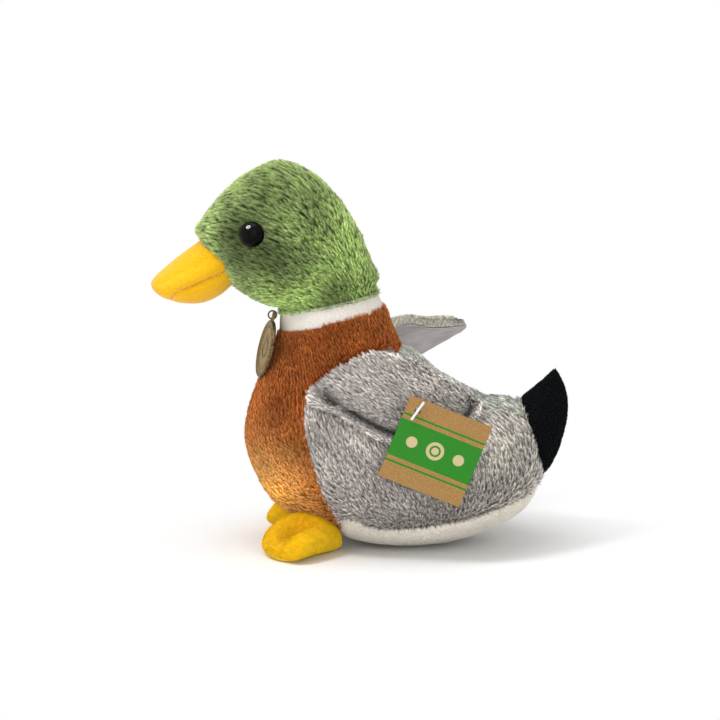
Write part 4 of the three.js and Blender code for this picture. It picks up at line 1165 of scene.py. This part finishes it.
# Head
def place_over(rows, y, z, near):
    """Place and angle of the left surface over a point of the side view."""
    def offset(place):
        top, bottom = section_ends(rows, place)
        return (top[1] - bottom[1]) * (z - bottom[2]) - (top[2] - bottom[2]) * (y - bottom[1])

    low, high = near - ROW_REACH, near + ROW_REACH
    for _ in range(40):
        middle = (low + high) / 2
        if offset(low) * offset(middle) <= 0:
            high = middle
        else:
            low = middle
    place = (low + high) / 2
    top, bottom = section_ends(rows, place)
    reach = top - bottom
    along = ((y - bottom[1]) * reach[1] + (z - bottom[2]) * reach[2]) / (reach @ reach)
    return place, math.acos(2 * along - 1)


def surface_over(rows, y, z, near):
    """Point and normal of the left surface over a point of the side view."""
    place, angle = place_over(rows, y, z, near)
    step = SLOPE_STEP
    along = loft_point(rows, place + step, angle) - loft_point(rows, place - step, angle)
    around = loft_point(rows, place, angle + step) - loft_point(rows, place, angle - step)
    normal = np.cross(along, around)
    normal /= np.linalg.norm(normal)
    return loft_point(rows, place, angle), normal * np.sign(normal[0])


def head_place(y_share, z_share, near=6.0):
    """Point and normal on the head's left side from shares of its length and height."""
    y, z = collar_top[1:] + np.array([y_share * HEAD_LENGTH, z_share * HEAD_HEIGHT])
    return surface_over(head_rows, y, z, near)


eye_point, eye_normal = head_place(*EYE_SHARE)


def build_head():
    points, faces = loft(drawn_in(head_rows, HEAD_PILE_DEPTH), *HEAD_MESH)
    points = snapped(points, faces, lambda p: p[:, 0])
    normals = normals_of(points, faces)

    def held(p):
        neck = np.clip((HEAD_NECK_HOLD[0] - (p - collar_top) @ neck_axis) / HEAD_NECK_HOLD[1], 0, 1)
        eye_away = np.linalg.norm(np.abs(p) * [1, -1, 1] - eye_point, axis=1)
        eye = np.clip(EYE_HOLD[0] - eye_away / EYE_HOLD[1], 0, 1)
        seam = np.clip(HEAD_SEAM_HOLD[0] - np.abs(p[:, 0]) / HEAD_SEAM_HOLD[1], 0, 1)
        return np.maximum.reduce([neck, eye, seam])

    shape = moved_by_trial("head", points, faces, held)
    shape = pressed(shape, normals, points[:, 0], *CROWN_SEAM)
    dents = [(tuple(eye_point), *EYE_DENT)]
    dents += [(tuple(loft_point(head_rows, row, 0.0)), *dent) for row, *dent in CROWN_DENTS]
    dents += [(tuple(head_place(*shares)[0]), *dent) for shares, *dent in CHEEK_DENTS]
    shape = dented(shape, normals, dents)
    seat = (shape - collar_top) @ neck_axis > -HEAD_TUCK
    face = [0, *(beak_root + HEAD_COMB_START)]
    stuffing = {"left": [], "right": ["head_stuffing"]}
    for seed, (side, sign) in enumerate((("left", 1), ("right", -1)), STRAND_SEEDS["head"]):
        chosen = (points[faces][:, :, 0].mean(1) * sign > 0) & seat[faces].any(1)
        piece = hemmed(part_object(f"{side}_head_plush", shape, faces, chosen, plush["head"]))
        away = np.linalg.norm(vertex_places(piece.data) * [sign, 1, 1] - eye_point, axis=1)
        trimmed(piece, np.clip((away - EYE_TRIM) / EYE_TRIM_FADE, EYE_SHORTEST_SHARE, 1))
        shaded(piece, "head")
        combed(piece, face, collar_low + HEAD_COMB_END, HEAD_COMB_GIRTH)
        pile(piece, seed, PILE_COUNT, HEAD_PILE_LENGTH)
        settled(piece, "head", [f"{side}_head_panel", *stuffing[side]])


build_head()


# Beak
def build_beak():
    points, faces = loft(drawn_in(beak_rows, BEAK_PILE_DEPTH), *BEAK_MESH)
    mouth = line_of(MOUTH_SHARES, BEAK_LENGTH, BEAK_HEIGHT, beak_root)
    groove = line_of(BEAK_GROOVE_SHARES, BEAK_LENGTH, BEAK_HEIGHT, beak_root)
    inside = beak_root + np.array(BEAK_INSIDE_SHARE) * [BEAK_LENGTH, BEAK_HEIGHT]

    def below(p):
        return side_of(mouth, p, inside)

    points = snapped(points, faces, below)
    normals = normals_of(points, faces)
    chosen = seam_value(points, faces, below) > 0
    on_side = np.clip(np.abs(points[:, 0]) / (BEAK_SIDE_SHARE * BEAK_WIDTH / 2), 0, 1) ** 2
    shape = points
    under_groove = side_of(groove, points, inside)
    for (depth, width), distance in ((MOUTH_PRESS, below(points)), (GROOVE_PRESS, under_groove)):
        shape = shape - normals * (on_side * depth * bell(distance, 0, width))[:, None]
    between = (under_groove < 0) != (below(points) < 0)
    shape = shape + normals * (on_side * between * LIP_SWELL)[:, None]
    for name, part, stands_for in (("lower_beak", chosen, ["beak_lower"]),
                                   ("upper_beak", ~chosen, ["beak_upper", "beak_stuffing"])):
        piece = shaded(hemmed(part_object(name, shape, faces, part, plush["beak"]), BEAK_HEM), "beak")
        settled(piece, "head", stands_for)


build_beak()


# Eyes
def both_sides(points, faces):
    """A form on the left, and its mirror image on the right."""
    return ("left", points, faces), ("right", points * [-1, 1, 1], faces[:, ::-1])


def eye_material():
    material, tree, shader, where = nodes_of("eye_gloss", Specular_IOR_Level=0.07)
    smudge = noise(tree, where, EYE_SMUDGE, 4.0)
    black = linear("#020202")
    tint = tuple(2.2 * channel for channel in black[:3]) + (1.0,)
    tree.links.new(ramp(tree, smudge, [(0.3, black), (0.8, tint)]), shader.inputs["Base Color"])
    tree.links.new(maths(tree, "MULTIPLY_ADD", smudge, 0.05, 0.03), shader.inputs["Roughness"])
    return material


def turned(profile, count):
    """Points and triangles of a profile of radius and height turned about +Z, closed at both ends."""
    profile = np.array(profile, float)
    angles = ring_angles(count)
    ring = np.stack([np.cos(angles), np.sin(angles)], 1)
    rings = [np.column_stack([ring * radius, np.full(count, height)]) for radius, height in profile]
    points = np.concatenate([*rings, [[0, 0, profile[0, 1]], [0, 0, profile[-1, 1]]]])
    return points, facing_out(points, ring_faces(len(profile), count))


def build_eyes():
    radius = EYE_DIAMETER / 2
    steps, count = EYE_MESH
    profile = [[share * radius, height] for share, height in EYE_BACK]
    arc = np.linspace(0, np.pi / 2, steps)[:-1]
    profile += [[radius * math.cos(a), EYE_DOME_HEIGHT * math.sin(a)] for a in arc]
    points, faces = turned(profile, count)
    material = eye_material()
    facing = np.array(Vector(eye_normal).to_track_quat("Z", "Y").to_matrix())
    placed = points @ facing.T + eye_point + EYE_LIFT * eye_normal
    for side, own_points, own_faces in both_sides(placed, faces):
        piece = mesh_object(f"{side}_eye_dome", own_points, own_faces, [material])
        settled(piece, "head", [f"{side}_eye"])


build_eyes()


# Wings
def wing_layer(low, high, droop):
    """A closed layer over the torso's side between two heights, each a function of reach."""
    rim = np.array(WING_SHARES) + np.outer(WING_DROOP_SHARES, [0, droop])
    outline = curve([rim[-1], *rim, *rim[:2]], 1 + np.arange(WING_COUNT) * len(rim) / WING_COUNT)
    centre = np.array(WING_CENTRE_SHARE)
    reaches = ring_reaches()
    points = []
    for lift, order in ((low, reaches), (high, reaches[::-1])):
        for reach in order:
            place = centre + (outline - centre) * reach
            points.append(torso_point(place[:, 0], place[:, 1], lift(np.full(WING_COUNT, reach))))
    for lift in (low, high):
        points.append(torso_point(centre[:1], centre[1:], lift(np.zeros(1))))
    points = np.concatenate(points)
    return points, facing_out(points, ring_faces(2 * WING_RINGS, WING_COUNT))


def level(height):
    """The same height at every reach."""
    return lambda reach: height + 0 * reach


def ring_reaches():
    """Share of the way from a wing's middle to its rim, ring by ring."""
    return np.sin(np.linspace(WING_CORE_SHARE, 1, WING_RINGS) * np.pi / 2)


def wing_hinge():
    """Middle, direction and start of the line that a wing is sewn along."""
    start, end = (torso_point(np.array([p]), np.array([d]), np.array([WING_HINGE_LIFT]))[0]
                  for p, d in WING_HINGE_SHARES)
    return (start + end) / 2, (end - start) / np.linalg.norm(end - start), start


def raised(points):
    """The left wing's points as the right wing's: raised, rolled outwards, mirrored and swung out."""
    origin, axis, start = wing_hinge()
    tip_up = rotation(RIGHT_WING_RAISE_ANGLE, "X")
    gap = (points - origin) @ tip_up.T + origin - start
    roll = -np.hypot(gap[:, 0], gap[:, 1]) / (2 * RIGHT_WING_ROLL_RADIUS)
    rolled = np.stack([gap[:, 0] * np.cos(roll) - gap[:, 1] * np.sin(roll),
                       gap[:, 0] * np.sin(roll) + gap[:, 1] * np.cos(roll), gap[:, 2]], 1) + start
    flip, aside = np.array([-1.0, 1.0, 1.0]), np.array([RIGHT_WING_STANDOFF, 0, 0])
    pivot = origin * flip - aside
    swing = rotation(RIGHT_WING_ANGLE, Vector((tip_up @ axis) * flip))
    free = (rolled * flip - aside - pivot) @ swing.T + pivot
    hinge = points - origin
    off = np.linalg.norm(hinge - np.outer(hinge @ axis, axis), axis=1)
    share = np.clip(off / ROOT_REACH, 0, 1)[:, None]
    share = share * share * (3 - 2 * share)
    return points * flip * (1 - share) + free * share


def sagged(cover, lining, outside, reach):
    """The raised wing with its rim sagging, and its tip rounded on the outside."""
    def over_rings(values):
        return np.concatenate([np.tile(values, 2 * WING_RINGS), [0, 0]])

    places = np.arange(WING_COUNT) * len(RIGHT_WING_SAGS) / WING_COUNT
    rim_sag = np.interp(places, np.arange(len(RIGHT_WING_SAGS) + 1), [*RIGHT_WING_SAGS, RIGHT_WING_SAGS[0]])
    sag = over_rings(rim_sag) * reach ** 2
    tip = over_rings(bell(places, WING_TIP_ROW, WING_TIP_WIDTH))
    own, at_tip = WING_SAG_SHARES
    cover[:, 2] -= sag * np.where(outside, own + at_tip * tip, 1.0)
    lining[:, 2] -= sag


def lining_material():
    material, tree, shader, where = nodes_of("wing_lining_cloth", Roughness=0.7, Sheen_Weight=0.3)
    knit = noise(tree, where, LINING_KNIT, stretch=(1, 1, 0.5))
    soft = noise(tree, where, LINING_PATCH)
    tree.links.new(ramp(tree, soft, LINING_STOPS), shader.inputs["Base Color"])
    bumped(tree, shader, knit, *LINING_RELIEF)
    return material


def build_wings():
    floor = WING_UNDER_GAP + WING_LINING
    lining_top = WING_UNDER_GAP + WING_LINING_SHARE * WING_LINING
    stitches = torso_line(WING_GROOVE_SHARES)
    lining_cloth = lining_material()
    reaches = ring_reaches()
    reach = np.concatenate([np.repeat(reaches, WING_COUNT), np.repeat(reaches[::-1], WING_COUNT), [0, 0]])
    outside = np.arange(len(reach)) >= (len(reach) - 2) // 2
    for seed, (side, looks) in enumerate(WING_LOOKS.items(), STRAND_SEEDS["wing"]):
        droop, edge, painted_brightening, colour, length, clump = looks
        fill = WING_FILL + WING_PLUSH - WING_COVER_SLACK - edge
        cover, cover_faces = wing_layer(level(floor), lambda r: floor + fill * (1 - r ** 5) + edge, droop)
        lining, lining_faces = wing_layer(level(WING_UNDER_GAP), level(lining_top), droop)
        beyond = side_of(stitches, cover, (0, 0))
        groove = bell(beyond, 0, WING_GROOVE_WIDTH) * outside
        cover = cover - normals_of(cover, cover_faces) * (WING_GROOVE_DEPTH * groove)[:, None]
        # Band along the lower rim that gets a painted highlight
        rim = np.clip((beyond - WING_RIM_START) / WING_RIM_FADE, 0, 1) * outside * (reach > WING_RIM_SHARE)
        flat = cover
        if side == "right":
            cover, lining = raised(cover), raised(lining)
            sagged(cover, lining, outside, reach)
            cover_faces, lining_faces = cover_faces[:, ::-1], lining_faces[:, ::-1]
        piece = mesh_object(f"{side}_wing_plush", cover, cover_faces, plush[colour])
        # Painted shade in the groove, painted highlight on the rim, and painted-light brightening of the
        # raised wing
        gain = (1 - WING_GROOVE_PAINTED_SHADE * groove) * (1 + WING_RIM_PAINTED_HIGHLIGHT * rim) * painted_brightening
        shaded(piece, "wing", gain)
        share = np.where(outside, 1 - WING_GROOVE_TRIM_SHARE * groove, PILE_SHORTEST_SHARE)
        trimmed(piece, share * clear_of_card(flat))
        pile(combed_flat(piece, flat, WING_LAY), seed, 1.0, length, clump=clump)
        settled(piece, f"{side}_wing", [f"{side}_wing_cover", f"{side}_wing_stuffing"])
        cloth = mesh_object(f"{side}_wing_lining_cloth", lining, lining_faces, [lining_cloth])
        settled(cloth, f"{side}_wing", [f"{side}_wing_lining"])


build_wings()


# Feet
def build_feet():
    rows = sized(FOOT_SHARES, FOOT_LENGTH, FOOT_HEIGHT, FOOT_WIDTH / 2, (0, -REST_CUT))
    base, faces = loft(drawn_in(rows, FOOT_PILE_DEPTH), *FOOT_MESH)
    base[:, 2] = np.maximum(base[:, 2], FOOT_CLEARANCE)
    base = snapped(base, faces, lambda p: p[:, 2] - SOLE_HEIGHT)
    upper = seam_value(base, faces, lambda p: p[:, 2] - SOLE_HEIGHT) > 0
    placed = base @ rotation(FOOT_SPLAY_ANGLE, "Z").T + [FOOT_SPREAD / 2, FOOT_HEEL_SHARE * TORSO_LENGTH, 0]
    placed = dented(placed, normals_of(placed, faces), FOOT_DENTS, mirror=False)
    placed[:, 2] = np.maximum(placed[:, 2], FOOT_CLEARANCE)
    for seed, (side, points, own_faces) in enumerate(both_sides(placed, faces), STRAND_SEEDS["foot"]):
        top = shaded(part_object(f"{side}_foot_plush", points, own_faces, upper, plush["foot"]), "foot")
        pile(combed(top, *FOOT_COMB), seed, **FOOT_PILE)
        settled(top, f"{side}_foot", [f"{side}_foot_upper", f"{side}_foot_stuffing"])
        sole = part_object(f"{side}_foot_sole_cloth", points, own_faces, ~upper, plush["foot"])
        shaded(sole, "foot")
        settled(sole, f"{side}_foot", [f"{side}_foot_sole"])


build_feet()


# Swing tag
def card_material(pin):
    """Kraft card with a green band, thin lines, dots and a ring, printed round the card's middle."""
    material, tree, shader, where = nodes_of("kraft_card", Roughness=0.85, Specular_IOR_Level=0.25)
    shifted = node(tree, "ShaderNodeVectorMath", operation="SUBTRACT")
    tree.links.new(where, shifted.inputs[0])
    shifted.inputs[1].default_value = tuple(pin * MM)
    mapped = node(tree, "ShaderNodeMapping", in_Vector=shifted.outputs[0],
                  in_Rotation=(math.radians(CARD_ANGLE), 0, 0))
    parts = node(tree, "ShaderNodeSeparateXYZ")
    tree.links.new(mapped.outputs["Vector"], parts.inputs[0])
    reach = (CARD_SIZE / 2 - CARD_HOLE_INSET) * MM
    across = maths(tree, "SUBTRACT", parts.outputs["Y"], reach)
    up = maths(tree, "ADD", parts.outputs["Z"], reach)
    fibres = noise(tree, where, CARD_FIBRE, 6.0, (1, 0.5, 1))
    flecks = ramp(tree, noise(tree, where, CARD_FLECK), [(0.68, 0), (0.76, 0.6)])
    kraft = ramp(tree, fibres, [(0.3, "#94703f"), (0.55, "#a9824e"), (0.8, "#ba955f")])
    kraft = mixed(tree, flecks, kraft, linear("#6f4f28"), "MIX")
    inked = ramp(tree, fibres, [(0.3, "#25781b"), (0.8, "#3c9030")])
    green = mixed(tree, 0.5, linear("#2f8524"), inked, "MIX")

    def within(distance, limit):
        """1 where a distance is under a limit, with a thin soft edge."""
        share = maths(tree, "MULTIPLY_ADD", maths(tree, "SUBTRACT", limit * MM, distance),
                      1 / (CARD_EDGE_BLUR * MM), 0.5)
        return node(tree, "ShaderNodeClamp", in_Value=share).outputs[0]

    def off(distance, place):
        return maths(tree, "ABSOLUTE", maths(tree, "SUBTRACT", distance, place * MM))

    def ring(radius, width, place=0.0):
        aside = maths(tree, "SUBTRACT", across, place * MM)
        squares = (maths(tree, "MULTIPLY", value, value) for value in (aside, up))
        return within(off(maths(tree, "SQRT", maths(tree, "ADD", *squares)), radius), width / 2)

    height = maths(tree, "ABSOLUTE", up)
    lines = within(off(height, CARD_LINE_AT), CARD_LINE_HALF)
    bars = maths(tree, "MAXIMUM", within(height, CARD_BAND_HALF), lines)
    marks = ring(0.0, CARD_SPOT)
    for place in (-CARD_DOT_AT, CARD_DOT_AT):
        marks = maths(tree, "MAXIMUM", marks, ring(0.0, CARD_DOT, place))
    marks = maths(tree, "SUBTRACT", marks, ring(*CARD_RING))
    marks = node(tree, "ShaderNodeClamp", in_Value=marks).outputs[0]
    printed = mixed(tree, marks, mixed(tree, bars, kraft, green, "MIX"), linear("#cbb98e"), "MIX")
    tree.links.new(printed, shader.inputs["Base Color"])
    bumped(tree, shader, fibres, *CARD_RELIEF)
    return material


def build_tag():
    point, normal = surface_over(torso_rows, *card_hole, 4.5)
    lift = WING_UNDER_GAP + WING_LINING + CARD_STACK_GAP + WING_FILL + WING_PLUSH + CARD_STACK_GAP
    dressed("tag_card", card_material(point + lift * normal))
    plastic = grained("fastener_plastic", PLASTIC_HAZE, [(0.3, "#e6e6e4"), (0.7, "#ffffff")],
                      Roughness=0.3, Subsurface_Weight=0.2)
    dressed("tag_fastener", plastic, smooth=True)


build_tag()


# Medallion
def brass_material():
    material, tree, shader, where = nodes_of("antique_brass", Metallic=0.7, Roughness=0.42)
    wear = noise(tree, where, BRASS_WEAR, 5.0)
    edge = ramp(tree, node(tree, "ShaderNodeNewGeometry").outputs["Pointiness"], [(0.46, 0), (0.54, 1)])
    tarnish = ramp(tree, wear, [(0.3, "#35280f"), (0.55, "#7a623c"), (0.8, "#b0925c")])
    tree.links.new(mixed(tree, edge, tarnish, linear("#ad9160"), "MIX"), shader.inputs["Base Color"])
    bumped(tree, shader, wear, *BRASS_RELIEF)
    return material


def medallion_tab():
    """Points and triangles of the tab above the disc, with its edges bevelled."""
    tab = bmesh.new()
    bmesh.ops.create_cube(tab, size=1.0)
    size = (MEDALLION_TAB_WIDTH, MEDALLION_TAB_THICKNESS, 2 * MEDALLION_TAB_HEIGHT)
    bmesh.ops.scale(tab, verts=tab.verts, vec=size)
    bmesh.ops.translate(tab, verts=tab.verts, vec=(0, 0, -MEDALLION_TAB_HEIGHT))
    bmesh.ops.bevel(tab, geom=tab.edges[:], offset=TAB_BEVEL, segments=2, affect="EDGES")
    bmesh.ops.triangulate(tab, faces=tab.faces[:])
    tab.verts.index_update()
    points = np.array([vert.co[:] for vert in tab.verts])
    faces = np.array([[vert.index for vert in face.verts] for face in tab.faces])
    tab.free()
    return points, faces


def build_medallion():
    top = loft_point(head_rows, 1.0, np.pi)
    rest = loft_point(torso_rows, MEDALLION_REST_SHARE, np.pi)
    front = min(top[1], front_y)
    home = np.array([0.0, front - MEDALLION_STANDOFF - collar_top[1], top[2] - MEDALLION_DROP])
    lean = math.atan2(front - rest[1], home[2] - rest[2]) - math.radians(MEDALLION_HANG_ANGLE)
    radius, half = MEDALLION_DIAMETER / 2, MEDALLION_THICKNESS / 2
    profile = [[0.01, -half], [radius - MEDALLION_EDGE, -half], [radius, -half + MEDALLION_EDGE]]
    profile += [[radius - inset, half - depth] for inset, depth in RIM_STEPS]
    profile += [[place, half - depth] for place, depth in BOSS_STEPS]
    disc, disc_faces = turned(profile, DISC_POINTS)
    flat = np.hypot(disc[:, 0], disc[:, 1])
    spoked = (flat > BOSS_STEPS[0][0] - SPOKE_MARGIN) & (flat < radius - RIM_STEPS[-1][0] + SPOKE_MARGIN)
    disc[:, 2] += SPOKE_HEIGHT * (np.cos(SPOKE_COUNT * np.arctan2(disc[:, 1], disc[:, 0])) * spoked)
    disc = disc[:, [0, 2, 1]] * [1, -1, 1]
    disc[:, 2] -= radius + MEDALLION_TAB_HEIGHT
    arc = np.linspace(*BEAD_ARC)
    bead_profile = [[BEAD_RADIUS * math.cos(a), BEAD_RADIUS * math.sin(a)] for a in arc]
    ball, ball_faces = turned(bead_profile, BEAD_POINTS)
    points, faces = [disc], [disc_faces[:, ::-1]]
    track = radius - BEAD_INSET
    for index in range(BEAD_COUNT):
        angle = 2 * math.pi * index / BEAD_COUNT
        height = track * math.sin(angle) - radius - MEDALLION_TAB_HEIGHT
        faces.append(ball_faces + len(ball) * index + len(disc))
        points.append(ball + [track * math.cos(angle), -(half - BEAD_DEPTH), height])
    tab_points, tab_faces = medallion_tab()
    faces.append(tab_faces + sum(map(len, points)))
    points.append(tab_points)
    tilt = np.array(Matrix.Rotation(-lean, 3, "X"))
    placed = np.concatenate(points) @ tilt.T + home + MEDALLION_NUDGE
    placed = placed @ rotation(MEDALLION_ANGLE, "Z").T + [0, collar_top[1], 0]
    piece = mesh_object("medallion_disc", placed, np.concatenate(faces), [brass_material()])
    settled(piece, "medallion", ["medallion"])
    thread = grained("ring_thread", THREAD_TWIST, [(0.3, "#4d3a22"), (0.7, "#8a6d45")], stretch=(1, 1, 3),
                     relief=THREAD_RELIEF, Roughness=0.85)
    dressed("medallion_ring", thread, smooth=True)


build_medallion()

washer_plastic = grained("washer_plastic", PLASTIC_HAZE, [(0.3, "#e8e8e6"), (0.7, "#f8f8f8")], Roughness=0.5)
for eye_side in ("left", "right"):
    dressed(f"{eye_side}_eye_washer", washer_plastic)


# Floor, light and camera
def build_floor():
    """White paper that catches the shadow near the toy and fades to the white of the background."""
    data = bpy.data.meshes.new("floor")
    corners = [(-FLOOR_SIZE, -FLOOR_SIZE, 0), (FLOOR_SIZE, -FLOOR_SIZE, 0),
               (FLOOR_SIZE, FLOOR_SIZE, 0), (-FLOOR_SIZE, FLOOR_SIZE, 0)]
    data.from_pydata(corners, [], [(0, 1, 2, 3)])
    floor = bpy.data.objects.new("floor", data)
    bpy.context.scene.collection.objects.link(floor)
    material, tree, shader, where = nodes_of("floor_paper", Base_Color=FLOOR_TONE, Roughness=0.9,
                                             Specular_IOR_Level=0.0)
    away = node(tree, "ShaderNodeVectorMath", operation="LENGTH")
    tree.links.new(where, away.inputs[0])
    fade = node(tree, "ShaderNodeMapRange", interpolation_type="SMOOTHSTEP", in_Value=away.outputs["Value"],
                in_From_Min=FLOOR_FADE[0], in_From_Max=FLOOR_FADE[1])
    path = node(tree, "ShaderNodeLightPath").outputs
    seen = maths(tree, "MAXIMUM", path["Is Camera Ray"], path["Is Glossy Ray"])
    white = node(tree, "ShaderNodeEmission", in_Color=WHITE)
    share = maths(tree, "MULTIPLY", seen, fade.outputs["Result"])
    blend = blended(tree, share, shader.outputs["BSDF"], white.outputs["Emission"])
    tree.links.new(blend, tree.nodes["Material Output"].inputs["Surface"])
    floor.data.materials.append(material)


def blended(tree, share, first, second):
    """Two shaders mixed by a share."""
    made = node(tree, "ShaderNodeMixShader", in_Fac=share)
    tree.links.new(first, made.inputs[1])
    tree.links.new(second, made.inputs[2])
    return made.outputs["Shader"]


def build_world():
    """An even light from all sides, seen by the camera as white."""
    world = bpy.data.worlds.new("studio")
    bpy.context.scene.world = world
    world.use_nodes = True
    tree = world.node_tree
    light = tree.nodes["Background"]
    light.inputs["Color"].default_value = WHITE
    light.inputs["Strength"].default_value = WORLD_STRENGTH
    white = node(tree, "ShaderNodeBackground", in_Color=WHITE)
    path = node(tree, "ShaderNodeLightPath").outputs
    seen = maths(tree, "MAXIMUM", path["Is Camera Ray"], path["Is Transmission Ray"])
    blend = blended(tree, seen, light.outputs[0], white.outputs[0])
    tree.links.new(blend, tree.nodes["World Output"].inputs["Surface"])


def placed_object(name, data, place, way):
    """An object at a place, looking along a direction."""
    made = bpy.data.objects.new(name, data)
    made.location = place
    made.rotation_mode = "QUATERNION"
    made.rotation_quaternion = way.to_track_quat("-Z", "Y")
    bpy.context.scene.collection.objects.link(made)
    return made


def area_light(name, place, aim, size, power):
    data = bpy.data.lights.new(name, "AREA")
    assign(data, shape="DISK", size=size, energy=power)
    return placed_object(name, data, place, Vector(aim) - Vector(place))


def light_eyes_only(lamp):
    """Makes a lamp show in the eyes and light nothing else."""
    eyes = bpy.data.collections.new("glint")
    for side in ("left", "right"):
        eyes.objects.link(bpy.data.objects[f"{side}_eye_dome"])
    lamp.light_linking.receiver_collection = eyes


def build_camera():
    azimuth, elevation = math.radians(CAMERA_AZIMUTH), math.radians(CAMERA_ELEVATION)
    level = math.cos(elevation)
    back = Vector((math.sin(azimuth) * level, -math.cos(azimuth) * level, math.sin(elevation)))
    data = bpy.data.cameras.new("camera")
    assign(data, sensor_width=CAMERA_SENSOR, lens=CAMERA_LENS)
    place = Vector(CAMERA_AIM) + CAMERA_DISTANCE * back
    bpy.context.scene.camera = placed_object("camera", data, place, -back)


build_floor()
build_world()
lamps = {name: area_light(name, *values) for name, values in LAMPS.items()}
light_eyes_only(lamps["glint"])
build_camera()
bpy.context.scene.view_settings.view_transform = "Standard"
